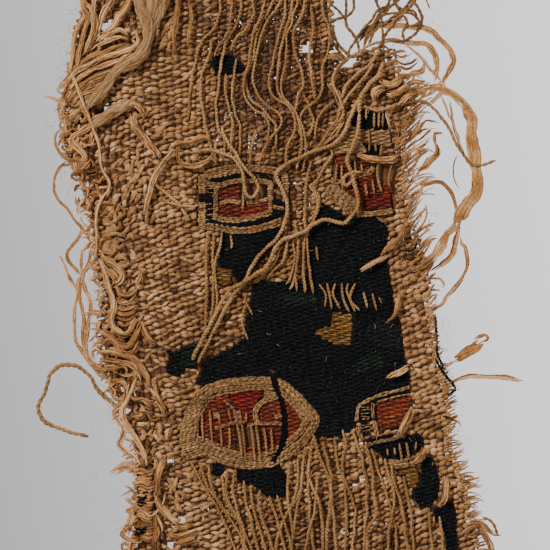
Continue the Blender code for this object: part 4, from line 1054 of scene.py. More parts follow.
# Width, strands, lift off the face, tone, points
LEFT_ROVINGS = (
    (0.9, 4, 0.2, 0.12, ((16.6, 118), (16.8, 110), (18.2, 108.4), (19.2, 106.4), (19.4, 104.8),
     (19.2, 103.4), (18.2, 101.4), (17.4, 100))),
    (0.9, 4, 0.1, 0.16, ((16.2, 117), (16.4, 110), (17.2, 107.2), (16.2, 105.4), (15.4, 103.8),
     (14.8, 101.6), (14.8, 99.8), (14.5, 97.2), (14.2, 95))),
    (0.8, 4, 0.4, 0.1, ((17, 114), (16.9, 108.5), (17.8, 106.7), (17.4, 104.9), (16.8, 103.1),
     (16.4, 101.1), (15.9, 99.3), (15.6, 97.2), (15.4, 96.2))),
    (0.8, 3, 0.6, 0.08, ((19, 112), (18.7, 106.2), (18.8, 104.2), (18.2, 102.4), (17.3, 99.8),
     (16.6, 98.8))),
    (1, 4, 0.7, 0.05, ((22.6, 114), (22.2, 109.7), (21.2, 108), (20.5, 106.4), (20.2, 105.2), (19.7, 103.2),
     (19.5, 101.6))),
    (0.9, 4, 0.8, 0.05, ((26.4, 113), (25.8, 109.5), (24.8, 107.7), (23.6, 106.2), (23, 104.9),
     (21.8, 103.9), (20.2, 103.1))),
    (1, 5, 0.6, 0.1, ((25.6, 102.6), (24.3, 103.9), (22.2, 103.2), (20.5, 102.3), (19.5, 101.1))),
    (1, 5, 0.5, 0.08, ((25.6, 102.1), (23.8, 102.4), (21.8, 101.8), (20, 100.9), (18.6, 99.7))),
    (0.9, 4, 0.9, 0.04, ((27.2, 104.6), (27.6, 102.6), (27.8, 101.4), (26.8, 100.3), (25.4, 99.8),
     (23.3, 99), (21.2, 98.5), (19.5, 97.8), (17.7, 96.8), (15.6, 95.7), (14.4, 94.4), (13.5, 92.7))),
    (0.8, 4, 0.6, 0.02, ((24.3, 100.6), (22.3, 100.1), (20.8, 99.3), (19, 98.8), (17.4, 98), (16.4, 96.5))),
    (0.9, 4, 0.7, 0, ((26.4, 99.3), (23.8, 97.8), (20.8, 96.5), (18.7, 96), (16.6, 94.7), (15.4, 93.7),
     (14, 91.8))),
    (0.8, 4, 0.5, 0.04, ((27.6, 98.4), (24.6, 96.6), (21.6, 95.2), (18.6, 94.2), (16.8, 92.8), (14.6, 90.4),
     (13.6, 89))),
    (0.8, 4, 0.4, 0, ((24.4, 95), (21.8, 93.6), (18.6, 92), (16.2, 91), (14.2, 88.6))),
    (0.8, 3, 0.3, 0.03, ((22, 92.2), (19.2, 90.4), (17, 89), (15, 87.2), (13, 86.4))),
    (0.8, 3, 0.3, 0.05, ((20, 94), (16.8, 93.2), (15, 92.4), (13.2, 90), (12.6, 87.6), (12.2, 85))),
    (2.3, 9, 0.8, 0.02, ((26.4, 118), (27.4, 112), (28.8, 107.4), (29.6, 104.4), (29.9, 102.4))),
    (2.3, 9, 0.8, 0.03, ((34, 117), (33, 111), (31.6, 107), (30.6, 104.4), (30, 102.4))),
    (1.8, 9, 1.1, 0.06, ((30.4, 118), (30.6, 112), (30.2, 106), (29.9, 103), (29.7, 101.6), (28.4, 99),
     (25.8, 97.2), (23.3, 95.5), (21.2, 92.7), (19, 89.8), (17.7, 88))),
    (0.7, 3, 0.7, -0.05, ((35.4, 118), (35.6, 109), (35.2, 105.4), (34.8, 102.4), (34.8, 99.8),
     (34.2, 98))),
    (0.6, 3, 0.6, -0.02, ((37.6, 110.4), (38.4, 106.6), (37.8, 103), (37.6, 100.6))),
    (1.8, 8, 0.8, 0.06, ((27.4, 89), (26.4, 89.2), (24.6, 88.5), (22.8, 87.8), (21, 86.4), (19.2, 85.4),
     (17.6, 85))),
    (1.2, 5, 1.1, 0.12, ((25.8, 88.2), (26.6, 89.2), (27.6, 89), (28.4, 87.8), (28.7, 86))),
    (2.2, 8, 0, -0.05, ((28, 98.4), (22.6, 95.8), (17, 92.6), (13.8, 88.6))),
    (2.2, 8, 0, -0.08, ((26, 101), (21.4, 98.8), (17, 97), (14.6, 94))),
    (2, 8, 0, -0.02, ((22.4, 93.4), (18.4, 90.8), (15.4, 87.8), (14.2, 84.4))),
    (1.3, 6, 0.9, 0.05, ((26.4, 87.2), (26.6, 86), (27.4, 84), (29.6, 81.4), (31.2, 79.6), (31.8, 78.1))),
    (1.2, 5, 0.6, 0.05, ((22, 87.2), (19, 85.2), (17, 83.8), (15, 82.6), (14.6, 81.6), (15.6, 80.6),
     (16.8, 79.4), (17.2, 78.2), (16, 77.6), (14.6, 77.9))),
    # The long threads down the edge
    (0.55, 2, 0.9, 0.14, ((14.1, 95.7), (14.9, 94.2), (15.9, 91.6), (17.2, 88.4), (18.2, 85.8), (19, 83.5),
     (19.9, 81.2), (20.2, 78.4), (20.6, 76.1), (22, 73.6), (21.8, 71.8), (20.8, 70.7), (19.6, 68.2),
     (19.4, 65.6), (19.5, 62.6), (19.4, 59.8), (18.8, 57.7), (16.6, 55.2), (15.6, 53.4), (15.4, 51),
     (15, 48), (15, 45.4), (15.1, 42.2), (16.2, 40.1), (17.2, 38.3), (18.8, 36.6), (21.2, 35))),
    (0.5, 2, 0.1, 0.12, ((13.1, 84.5), (11.3, 83.2), (11.2, 80.7), (12.8, 78.4), (15.4, 77.9), (16.9, 78.4),
     (16.2, 81), (14.9, 82.4))),
    (0.5, 2, 0.1, 0.05, ((13.5, 77.9), (11.8, 76.3), (10.9, 74.3), (10.8, 72.2), (11, 71.4), (11.8, 69.9),
     (13.4, 68.4), (14.6, 66.4), (16.2, 64.6), (17.4, 63), (18.4, 60.8), (19, 58.4))),
    (0.5, 2, 0, 0.16, ((8.6, 90.6), (10.3, 90.4), (12, 89.6), (13.4, 89))),
    (0.6, 3, 0.1, 0.12, ((13.4, 92.6), (12.6, 90.6), (12, 89.6), (11.8, 87.6), (12.6, 85.6), (13.4, 86.6),
     (14.8, 88), (15.4, 89.6))),
    (0.6, 3, 0.2, 0.08, ((16.2, 64.6), (15.9, 62.6), (14.6, 61), (13.4, 59.4), (13.8, 57.6), (15.4, 55.9),
     (16.4, 54.8))),
    (0.5, 2, 0.1, 0.14, ((11.8, 59.4), (12.8, 57.2), (13.8, 54.6), (15.2, 52.4), (15.4, 50.4))),
    (0.6, 3, 0.1, 0.05, ((16.4, 60.2), (16.3, 57.4), (16.3, 55.2))),
    (0.6, 3, 0.3, 0.02, ((18.2, 60.8), (18, 58.4), (17.4, 56.6), (16.6, 55.2), (16.9, 52.4), (18, 50.2),
     (18.2, 48.2), (17.7, 46), (17.4, 43.4), (17.2, 40.8), (18, 38.3), (19.6, 36.6))),
    (0.6, 3, 0.2, 0.06, ((16.3, 54.1), (15.9, 51), (16.4, 48.5), (16.9, 46), (16.6, 43.4), (16.9, 40.1),
     (17.6, 38.2))),
    (0.5, 2, 0.3, 0.1, ((15.4, 51), (14.9, 47.6), (14.9, 44.6), (15.4, 41.4), (16.6, 39))),
    (0.45, 2, 0.1, 0.08, ((19.2, 56.4), (18.8, 55.2), (19.1, 53.6), (20, 53))),
    (1, 4, 0.4, 0.02, ((17.6, 38.4), (19, 36.8), (20.8, 36.2), (22.6, 36.4), (24.8, 36.6))),
    (0.4, 2, 0.1, 0.1, ((16.6, 39.6), (17.4, 37.9), (18.8, 36.2), (20.2, 34.8), (21.2, 34.4), (22, 36))),
    # Folded and drooping rovings beside the long threads
    (1.2, 5, 0.6, -0.02, ((19.7, 59.8), (21.8, 57.7), (23.8, 56.4), (24.6, 54.6), (23.3, 53.1))),
    (1, 4, 0.5, -0.04, ((19.9, 58.4), (21.2, 56.2), (22.8, 55), (23.4, 53.6), (22.6, 52.6))),
    (1.1, 5, 0.7, 0.04, ((19.7, 58.2), (20.8, 56.2), (21.5, 53.6), (22.5, 50.6), (22.8, 48.2), (22.3, 46.2),
     (23, 44.2), (24.6, 43.2), (25.8, 43.6), (27.4, 46.4))),
    (1, 5, 0.6, 0.02, ((19.2, 43.9), (21.2, 43.4), (22.8, 42.2), (24.3, 40.8), (26.1, 41.1), (27.4, 43.4),
     (28.4, 45.7))),
    (0.9, 4, 0.5, 0, ((20.2, 40.8), (21.8, 42.2), (23.4, 41.4), (24.8, 39.4), (26.6, 39.6), (28, 41.6))),
    (0.7, 3, 0.5, 0.02, ((23.6, 52.8), (24.3, 51.3), (25.8, 51), (27.4, 52.1))),
    (0.7, 3, 0.4, 0, ((22.8, 50.6), (24.6, 49.3), (26.4, 49.8), (27.4, 51.2))),
    (0.6, 3, 0.4, -0.04, ((22.8, 49.2), (24.6, 48.2), (26.4, 48.6), (27.5, 49.8))),
    (0.6, 3, 0.4, -0.02, ((22.9, 48), (24.6, 47.1), (26.4, 47.4), (27.6, 48.6))),
    (0.6, 3, 0.3, -0.06, ((23.2, 46.8), (24.8, 46), (26.2, 46.3), (27.4, 47.4))),
    (0.6, 3, 0.3, -0.06, ((23.6, 45.6), (24.8, 45), (26, 45.3), (27, 46.2))),
    (0.6, 3, 0.5, 0.06, ((27.2, 52.8), (28, 54.4), (28.4, 56.2))),
    (0.8, 3, 0.5, 0.05, ((28.4, 45.8), (29, 43.8), (30.2, 42), (31.4, 41.4))),
    (1, 5, 0.5, 0.02, ((19.5, 39.8), (22.3, 39.6), (24.6, 39), (26.8, 38.3), (28.4, 36.5), (29.4, 34.8),
     (30, 32.6))),
    (0.9, 4, 0.6, 0.06, ((20.2, 38.3), (23.3, 37.8), (25.8, 37.2), (27.9, 35.2), (28.4, 33.4))),
    (0.5, 2, 0.8, 0.1, ((24.3, 36.8), (25.8, 37.6), (27.4, 36.5), (26.6, 35.2), (24.8, 35), (23.6, 35.8))),
    # The tangle above the lower left corner
    (0.9, 4, 0.7, 0.05, ((27.4, 35.2), (26.8, 32.8), (25.8, 30.6), (24.8, 28.6), (24.6, 26.8), (25.8, 24.7),
     (27.4, 22.4), (28.4, 20.6), (29.2, 18.6), (29.6, 16.4))),
    (0.9, 4, 0.6, 0.02, ((25.6, 33.4), (25.1, 30.8), (24.3, 29), (23, 28), (22.8, 27), (23.8, 25.8),
     (24.8, 24.2), (24.3, 22.4), (23.8, 21.2), (25.3, 19.6), (26.8, 18.8), (27.8, 17))),
    (0.7, 3, 0.5, 0.08, ((22.3, 32.9), (23.2, 31.8), (23, 30.4), (24.3, 30.3), (25.4, 31.6), (25, 33.4),
     (23.6, 33.8), (22.3, 32.9))),
    (0.8, 4, 0.5, 0, ((26.8, 29.8), (28.4, 30.2), (30, 29.4), (31.4, 29.8))),
    (0.8, 4, 0.4, 0.02, ((27.6, 27.4), (29.4, 27.6), (30.6, 26.4), (32, 26.8))),
    (0.7, 3, 0.5, 0.04, ((30.6, 34.4), (31.4, 31.2), (32.6, 28.4), (33.2, 26))),
    (0.6, 3, 0.6, 0.04, ((29.4, 33.2), (31, 31), (32.2, 29.4), (34, 27.4))),
    (0.7, 3, 0.4, 0.02, ((29.6, 20.6), (29, 18.8), (27.8, 17.4), (26.6, 16.2), (25.4, 15.4))),
    (0.6, 2, 0.2, 0.16, ((27.4, 17.4), (26, 17.6), (24.2, 17), (22.8, 15.8), (22, 15.2))),
    (0.9, 4, 0.3, 0.02, ((28, 16), (26.4, 16.6), (24.6, 16.2), (22.9, 15.2))),
    (1.2, 6, 0.7, 0, ((33.8, 18.6), (32.5, 17.1), (31.8, 15), (31.4, 12.7), (31.3, 11))),
    (1.3, 6, 0.8, 0, ((31, 11.6), (31.3, 10.6), (31.8, 9.5), (32.8, 8.1), (34.4, 6.4), (36, 5.4))),
    (0.35, 2, 0.9, 0.2, ((33.1, 11.8), (32.7, 9.5), (31.3, 7.7), (30.1, 6.9), (29.1, 7.8), (28.1, 8.5))),
    (0.25, 2, 0.9, 0.3, ((31.3, 7.6), (31.9, 6.1), (32.4, 4.7), (32.5, 3.2))),
    (1.1, 5, 0.5, -0.28, ((30.6, 8.6), (31.2, 6.4), (31.4, 4), (31, 1.6), (31.4, -3))),
    (1, 5, 0.4, 0.06, ((33.4, 3.4), (36, 2.8), (38.4, 3.6), (40, 4.6))),
    (1.2, 5, 0.3, 0.08, ((35.4, 1.2), (36.9, 2), (39.4, 2.4))),
    (0.9, 4, 0.3, 0.06, ((34.8, 4.8), (36.8, 4.7), (38.6, 5.6))),
    (1.4, 6, 0.1, 0.16, ((25.2, 3.2), (25.6, 4.8), (26.4, 6.2), (27.2, 7.6))),
    (0.7, 3, 0.3, 0.18, ((28, 6.6), (26.4, 5.2), (24.8, 4), (24.4, 3), (26.2, 2), (27.8, 1.6),
     (28.6, 2.8))),
    (0.6, 3, 0.2, 0.16, ((28.2, 9.6), (26.6, 8.6), (26, 7.2), (27, 6.2))),
    (0.6, 3, 0.2, 0.14, ((26.2, 1.8), (25.8, 0.4), (26.8, -1), (28.4, -1.6), (29.6, -0.4))),
    # On the face
    (0.9, 4, 0.8, 0.08, ((35, 80), (33, 77.8), (31.4, 75.6), (30.4, 73.4), (29.8, 70.6), (29.2, 68),
     (28.8, 65.8))),
    (0.7, 3, 0.8, 0.1, ((35.6, 80.6), (35.6, 78.2), (36.8, 77), (39, 76.8), (41.2, 77.6), (42.8, 79.2))),
    (0.45, 2, 0.8, 0.06, ((32, 71.2), (33.4, 69.6), (35, 69), (36.6, 68.7), (38.4, 68.7), (40, 69))),
    (0.7, 3, 0.6, 0.02, ((33.8, 80), (36, 81.2), (38.6, 81.6), (40.8, 82.4), (43, 81.4))),
)

# Rows of curls along the left edge: top, foot, how far in, how many
CURL_ZONES = (
    (94, 86, 3, 18), (86, 76, 5.5, 48), (76, 64, 5.5, 44), (64, 50, 3, 12), (40, 30, 5, 14), (30, 16, 4, 9),
    (16, 0, 2, 5),
)


# A roving this wide is felted smooth, and one this narrow has worn thin
FELTED_WIDTH = 1.5
THIN_WIDTH = 0.75
STRAND_HALF = 0.125
STRAND_STEP = 0.55
FEWEST_POINTS = 14


def lay_roving(skein, width, strands, lift, tone, points, seed, half=STRAND_HALF, step=STRAND_STEP):
    """Soft yarn with hardly any twist: strands that wander beside one another along chosen points."""
    middle = smooth_route(points, step)
    if len(middle) < FEWEST_POINTS:
        middle = smooth_route(points, step * len(middle) / FEWEST_POINTS)
    chance = np.random.default_rng(seed)
    count = len(middle)
    # Narrow rovings have finer and darker strands
    half = half * min(1.12, 0.56 + 0.62 * width)
    tone = tone - (0.06 if width < THIN_WIDTH else 0.0)
    pinch = 0.62 + 0.38 * np.sin(np.linspace(0.15, math.pi - 0.5, count))
    felted = width > FELTED_WIDTH
    share, arch, uneven = (1.7, 0.16, 0.03) if felted else (1.6, 0.32, 0.07)
    strands = round(share * strands)
    for strand in range(strands):
        across = width * ((strand + 0.5) / strands - 0.5)
        sway = 0.14 * width * drift(seed + strand, middle[:, 0], middle[:, 1], 5.0)
        sway = sway + 0.05 * drift(seed + 40 + strand, middle[:, 0], middle[:, 1], 1.8)
        line = beside(middle, across * pinch + sway)
        # The strands end one after another
        first = chance.integers(0, 3)
        line = line[first:count - chance.integers(0, 4)]
        if len(line) < 4:
            continue
        crown = arch * width * (1.0 - (2 * across / width) ** 2)
        route = drape(line, half, lift + crown + uneven * chance.standard_normal(), 3)
        taper = np.clip(0.3 + from_ends(len(line)) / 3, 0.3, 1.0)
        even = half * taper * (1.0 + 0.125 * chance.standard_normal())
        shade = tone + 0.17 * chance.standard_normal() + 0.10 * drift(seed + 9, line[:, 0], line[:, 1], 6.0)
        if felted:
            skein.lay(route, 2.4 * even, 1.2 * even, 6, 0.9 * shade - 0.05, 0.03)
        else:
            skein.lay(route, 1.4 * even, even, 4, shade, 0.10)


def curl_points(centre, radius, start, sweep):
    """Points round a loose oval curl that opens as it turns."""
    turn = np.linspace(0.0, sweep, 9)
    reach = radius * (0.75 + 0.35 * turn / sweep) * (1.0 + 0.30 * np.cos(2.0 * turn + 5.0 * start))
    return swung(centre, reach, start + turn)


# Linen drawn out into loose strands: golden, with a faint gloss where the fibres lie straight
frayed_linen = spun_yarn("golden_frayed_linen", "#4A2408", "#AE753D", "#EDBE88", 6.0, 0.75, 0.15)
# Roving felted flat by wear: paler and matt, with its strands half lost
felted_linen = spun_yarn("felted_pale_roving", "#53341B", "#936B43", "#C59C6E", 3.0, 0.95, 0.12, 0.5)

left_strands = Skein()
felted_band = Skein()
for k, (width, strands, lift, tone, points) in enumerate(LEFT_ROVINGS):
    strand_kind = felted_band if width > FELTED_WIDTH else left_strands
    lay_roving(strand_kind, width, strands, lift, tone, points, 2300 + 11 * k)
# Short rovings, one above another, across the lower left edge
for k, y in enumerate(np.arange(2.2, 16.4, 0.62)):
    sway = 0.5 * math.sin(1.7 * k)
    points = ((27.0 + sway, y - 0.3), (28.2, y + 0.35), (29.6, y - 0.25), (31.0 + 0.4 * sway, y + 0.3))
    lay_roving(left_strands, 0.45, 2, 0.5, 0.04, points, 2100 + 3 * k, 0.19)
left_strands.piece("left_rovings", frayed_linen, "frayed_linen")
felted_band.piece("felted_band", felted_linen, "frayed_linen")

curls = Skein()
chance = np.random.default_rng(41)
for top, foot, reach, many in CURL_ZONES:
    for _ in range(many):
        y = chance.uniform(foot, top)
        x = at_height(LEFT_EDGE, y) + chance.uniform(-0.7, reach)
        radius = chance.uniform(0.7, 1.9)
        points = curl_points((x, y), radius, chance.uniform(0, math.tau), chance.uniform(1.8, 3.8))
        lay_roving(curls, chance.uniform(0.35, 0.6), int(chance.integers(1, 3)), chance.uniform(-0.2, 0.7),
                   chance.uniform(-0.22, 0.14), points, int(chance.integers(5000, 9000)), 0.19, 0.45)
curls.piece("left_edge_curls", frayed_linen, "frayed_linen")


# Right fray
# The same soft linen at the right edge: the cut wefts stand out in locks, and one long hank of
# roving has worked loose and hangs beside the cloth with its threads.

# Width, strands, lift off the face, tone, points
RIGHT_ROVINGS = (
    (1.3, 6, 0.4, 0.06, ((84.4, 92.3), (86.7, 92.5), (89, 91.9), (91.3, 90.5), (93.1, 88.9), (94.2, 86.3),
     (94.4, 83.6))),
    (1.8, 9, 0.3, 0.04, ((93, 89), (94.2, 86.3), (94.2, 83.6), (94.6, 81), (95, 78.3), (95, 76.9),
     (95.5, 74), (95.2, 71.5), (93.8, 69.2), (92.5, 67.4), (91.6, 65.8))),
    (1.2, 6, 0.5, -0.04, ((94, 71), (92.6, 69), (91.6, 67.4), (91.4, 65.6), (91.6, 63.7))),
    (1.5, 7, 0.4, 0.06, ((91.9, 66.6), (90.8, 64.4), (89.5, 63.3), (88.4, 61), (86.4, 58.4), (83.8, 56.6),
     (82.4, 56))),
    (0.8, 4, 0.3, 0.1, ((91.8, 64.4), (91.1, 61.7), (90.3, 59), (88.3, 57), (86, 55.6))),
    (0.5, 2, 0.2, 0.14, ((91, 61), (89.8, 58.8), (88.6, 57.4))),
    (0.62, 3, 0.3, 0.02, ((92, 62.5), (92.2, 61.2), (93, 60.4), (93.4, 58.4), (93.4, 56.4), (92.6, 55),
     (92, 53.7), (90.9, 52.4), (89.9, 51.3), (89.2, 50.6), (88.3, 49.2), (86.2, 48))),
    (0.7, 3, 0.2, 0.04, ((82.8, 73.5), (84.6, 73.1), (86.2, 73.5), (88.1, 73.5), (89.7, 72.3), (90.7, 70.7),
     (91.1, 68.8), (91.6, 66.6))),
    (0.45, 2, 0.2, 0.16, ((84.4, 54.6), (86.4, 54.4), (88, 54.2), (88.8, 53), (88.2, 52.2))),
    (0.9, 4, 0.4, 0.1, ((74.7, 104.7), (79.8, 104.9), (82.5, 104.5), (84.4, 104.5), (86.2, 104),
     (88, 102.2), (89.9, 100.1), (90.8, 98.1), (90.1, 96.2), (89, 94.4), (88.5, 92.5))),
    (0.9, 4, 0.6, 0.06, ((75.9, 101), (78.2, 102), (80.7, 101.5), (83.5, 101.3), (85.5, 101), (86.9, 99.2),
     (87.4, 97.1), (87.1, 95.1), (86.7, 93.5))),
    (0.5, 2, 0.7, 0.1, ((80.7, 101.3), (82.5, 100.1), (84.4, 98.3), (86, 96.2), (87.8, 94.4), (88.7, 93))),
    (0.45, 2, 0.3, 0.12, ((89.9, 90), (90.3, 87.5), (90.8, 84.7), (91.9, 81.3), (93.1, 78.5), (94.7, 76.7),
     (96.2, 73.6))),
    (0.7, 3, 0.5, 0.04, ((84.4, 90.4), (86.4, 91.6), (88.2, 93.4), (88.6, 92), (86.8, 90), (85, 88.4))),
    (0.3, 2, 0.1, 0.14, ((88.2, 91), (89.2, 88.6), (90.2, 85.6))),
    (1.7, 8, 0.2, 0.06, ((91, 38.2), (92.4, 39), (93.8, 39.8), (95.2, 40.6), (96.6, 41.6))),
    (0.4, 2, 0.2, 0.1, ((88.6, 36.2), (90, 37.2), (91.2, 38.2))),
    (0.5, 2, 0.2, 0.1, ((96.4, 41.4), (97.6, 42.2), (97, 43), (95.6, 42.6), (94.4, 41.6))),
    (0.7, 3, 0.2, 0.12, ((88.4, 31.6), (89.6, 32.8), (90.6, 33.7), (93.6, 34.7), (98, 34.7), (101.6, 34.4),
     (105.3, 33.8))),
    (0.9, 4, 0.8, 0.14, ((72, 56), (73.2, 56.6), (74.6, 57.4), (76.2, 58.2), (77.6, 59.4))),
    (0.8, 4, 0.7, 0.14, ((79.8, 52.2), (79.7, 50.4), (79.4, 48.6), (79, 47.2), (78.2, 46.3), (76.9, 45.6))),
    (1.3, 6, 0.7, 0.04, ((82.6, 28.6), (81.6, 26.6), (80.7, 24.9), (79.8, 22.8))),
    (0.12, 1, 0.3, 0, ((92, 79.6), (90.8, 77.4), (90.6, 75.6), (91.3, 73), (93.4, 71.5))),
    (1.2, 5, 0.7, 0.04, ((85, 20.4), (84.4, 19.2), (83.4, 18), (82.2, 17.2))),
    (1.2, 5, 0.7, 0.06, ((88.8, 14.6), (89.2, 12.6), (88.8, 10.6), (87.6, 8.6))),
    (1, 5, 0.8, 0.1, ((81.8, 36.9), (79.8, 35.7), (78.4, 35.2), (77, 34.6))),
    (1.3, 5, 0.7, 0.02, ((79.8, 78.8), (78.4, 78), (76, 77.9), (73.8, 78.2), (71.3, 78.6))),
    (0.9, 4, 0.7, 0.02, ((76, 59), (77.8, 60.6), (79.4, 62), (80.6, 63.4), (81.2, 65.8))),
    (1.2, 5, 0.9, 0.04, ((75.9, 93.7), (77, 93.2), (78.4, 93), (80.2, 94.4), (82, 94.6))),
    (1.1, 5, 0.8, 0.02, ((77.2, 91), (78.8, 91.2), (80.6, 92.2), (82.6, 93.4))),
    (0.45, 2, 0.8, 0, ((77.2, 88), (77.4, 86.6), (77.8, 85.2), (77.9, 84))),
    (0.9, 4, 0.6, 0.06, ((79.6, 88.8), (81.2, 90.4), (83.2, 91.6), (85.4, 92))),
    (0.8, 4, 0.5, 0.06, ((92.6, 5.6), (94.8, 5.6), (96.6, 5.2), (98.2, 3.6), (100.2, 3))),
    (1, 5, 0.4, 0.04, ((94, 6.4), (95.6, 4.8), (97, 3), (98.2, 0.4), (98.2, -3))),
    (0.8, 4, 0.4, 0.02, ((92, 3.4), (93.6, 4.4), (95.4, 4.8), (96.6, 3.8))),
    # The tangle over the lobe, darkened as painted shade, and the end beside it
    (1.1, 5, 0.5, -0.34, ((71.6, 101.4), (73.4, 104), (75.4, 105), (77.6, 105.4), (80, 106.4),
     (81.6, 106.2))),
    (1.2, 5, 0.4, 0.02, ((65.6, 98.6), (67.4, 98.6), (69, 98))),
    # Thin wisps off the lobe
    (0.4, 2, 0, -0.05, ((78.6, 99.8), (79.4, 99.6), (80.5, 99.8), (81.6, 99.5))),
    (0.4, 2, 0, -0.1, ((78.6, 98.8), (79.6, 98.7), (80.5, 98.6), (81.7, 99.1), (82.1, 99.6))),
    (0.45, 2, 0, -0.12, ((78.8, 98), (79.8, 97.6), (80.9, 97.1), (82.3, 97.5), (83.5, 98.6))),
    (0.45, 2, 0, 0.05, ((79, 97), (79.8, 96.7), (80.9, 96.2), (82.1, 96.4), (83.2, 97.3), (84.1, 98.3))),
    (0.8, 3, 0, 0.08, ((80.2, 93.6), (81.4, 94.4), (82.6, 95.4), (83.7, 95.5), (84.6, 95.9), (84.7, 97.3))),
    (0.8, 4, 0, 0.04, ((79.6, 92.4), (81, 92.8), (82.6, 93.6), (84.2, 93.5), (86, 92.8))),
    (0.7, 3, 0.1, 0, ((79.8, 91.2), (81.6, 91.6), (83.4, 92.4), (85, 92.3))),
    (0.6, 3, 0, -0.04, ((80.4, 90.2), (82, 90.4), (83.6, 91.2), (85.2, 91.4))),
    (1.4, 6, 0.6, 0.08, ((76.8, 92.3), (75.5, 91.9), (74.8, 90.9), (74.9, 89.6))),
    # Wavy wisps of the upper right edge, and the fold they end in
    (0.35, 2, 0, -0.2, ((80.8, 81.2), (82.6, 83.3), (83.9, 84.5), (84.8, 85.6), (85.4, 85.9), (86.7, 85.75),
     (88, 85.4))),
    (0.5, 2, 0, -0.06, ((81.4, 81.2), (82.5, 82.3), (84.4, 83.9), (85.5, 84.2), (86.4, 85.3))),
    (0.45, 2, 0.1, -0.02, ((83.1, 81.5), (84.7, 82.7), (86.1, 84), (87.2, 84.2))),
    (0.35, 2, 0, -0.12, ((81.6, 78), (82.4, 78.7), (83.8, 79.9), (84.7, 80.9), (85.9, 82.2), (86.8, 83))),
    (0.6, 3, 0, 0.06, ((82.4, 77.2), (83.3, 78), (84.7, 79.5), (86.1, 80.5))),
    (1, 5, 0.2, -0.02, ((83.4, 75.8), (85.1, 76.8), (86.1, 77.8), (87.1, 78.9), (87.6, 79.8),
     (87.3, 81.1))),
    (0.45, 2, 0.2, -0.02, ((87.6, 79.8), (87.2, 81.1), (86.9, 82.6), (86.8, 83.8))),
    (0.35, 2, 0, -0.1, ((82.6, 74.4), (83.5, 75.2), (84.7, 77.1), (85.5, 78.3), (86.6, 79.5))),
    (0.3, 2, 0.1, 0, ((86.6, 83.2), (87.6, 83.3), (88.6, 83.4))),
)

# Locks of cut weft along the right edge: y, length, direction in degrees
LOCK_GUIDE = (
    (-9, 1.6, 15), (4, 2.2, 10), (12, 2.4, 18), (20, 1.8, 12), (28, 1.6, 25), (36, 1, 30), (44, 0.9, 40),
    (54, 2.4, 45), (60, 4.2, 40), (64, 4.8, 42), (68, 6.4, 43), (71, 6, 42), (74, 3.8, 38), (77, 4.8, 44),
    (82, 6, 44), (86, 6, 44), (90, 4.2, 30), (96, 3.4, 10), (100, 2.8, 0),
)


# How thick a lock is from its root to its tip
LOCK_SLIM = np.array((0.8, 1.0, 1.0, 0.95, 0.9, 0.8, 0.65, 0.35))
LOCK_TONE = 0.02


def lay_lock(skein, base, heading, length, seed, half):
    """A soft cut end of one to three strands that stands out from the edge with a slight bend."""
    chance = np.random.default_rng(seed)
    bend = chance.normal(0.0, 0.22)
    for _ in range(int(chance.integers(1, 4))):
        turn = heading + chance.normal(0.0, 0.05)
        reach = np.linspace(0.0, length * chance.uniform(0.75, 1.1), len(LOCK_SLIM))
        swing = turn + bend * (reach / length) ** 2
        line = swung(np.asarray(base) + chance.normal(0.0, 0.12, 2), reach, swing)
        route = drape(line, half, -0.30 + chance.uniform(-0.1, 0.2), 1)
        slim = half * LOCK_SLIM
        skein.lay(route, 1.15 * slim, slim, 6, LOCK_TONE + 0.16 * chance.standard_normal(), 0.25)


right_strands = Skein()
for k, (width, strands, lift, tone, points) in enumerate(RIGHT_ROVINGS):
    lay_roving(right_strands, width, strands, lift, tone, points, 4300 + 11 * k)
right_strands.piece("right_rovings", frayed_linen, "frayed_linen")

locks = Skein()
chance = np.random.default_rng(43)
lock_heights, lock_lengths, lock_headings = zip(*LOCK_GUIDE)
for k, y in enumerate(np.arange(CLOTH_FOOT, 95.0, 0.62)):
    length = np.interp(y, lock_heights, lock_lengths) * chance.uniform(0.6, 1.12)
    heading = math.radians(np.interp(y, lock_heights, lock_headings))
    x = at_height(RIGHT_EDGE, y) - chance.uniform(0.8, 1.8)
    lay_lock(locks, (x, y), heading + chance.normal(0.0, 0.09), length + 1.3, 6000 + k, 0.17)
for k, y in enumerate(np.arange(CLOTH_FOOT, 100.0, 0.8)):
    x = at_height(LEFT_EDGE, y) + chance.uniform(0.2, 2.0)
    lay_lock(locks, (x, y), math.pi + chance.normal(0.2, 0.7), chance.uniform(1.2, 3.2), 6500 + k, 0.19)
locks.piece("edge_locks", frayed_linen, "frayed_linen")


# Dark edge threads
# A few black wool wefts of the band that outlasted the linen round them, caught along the edges.

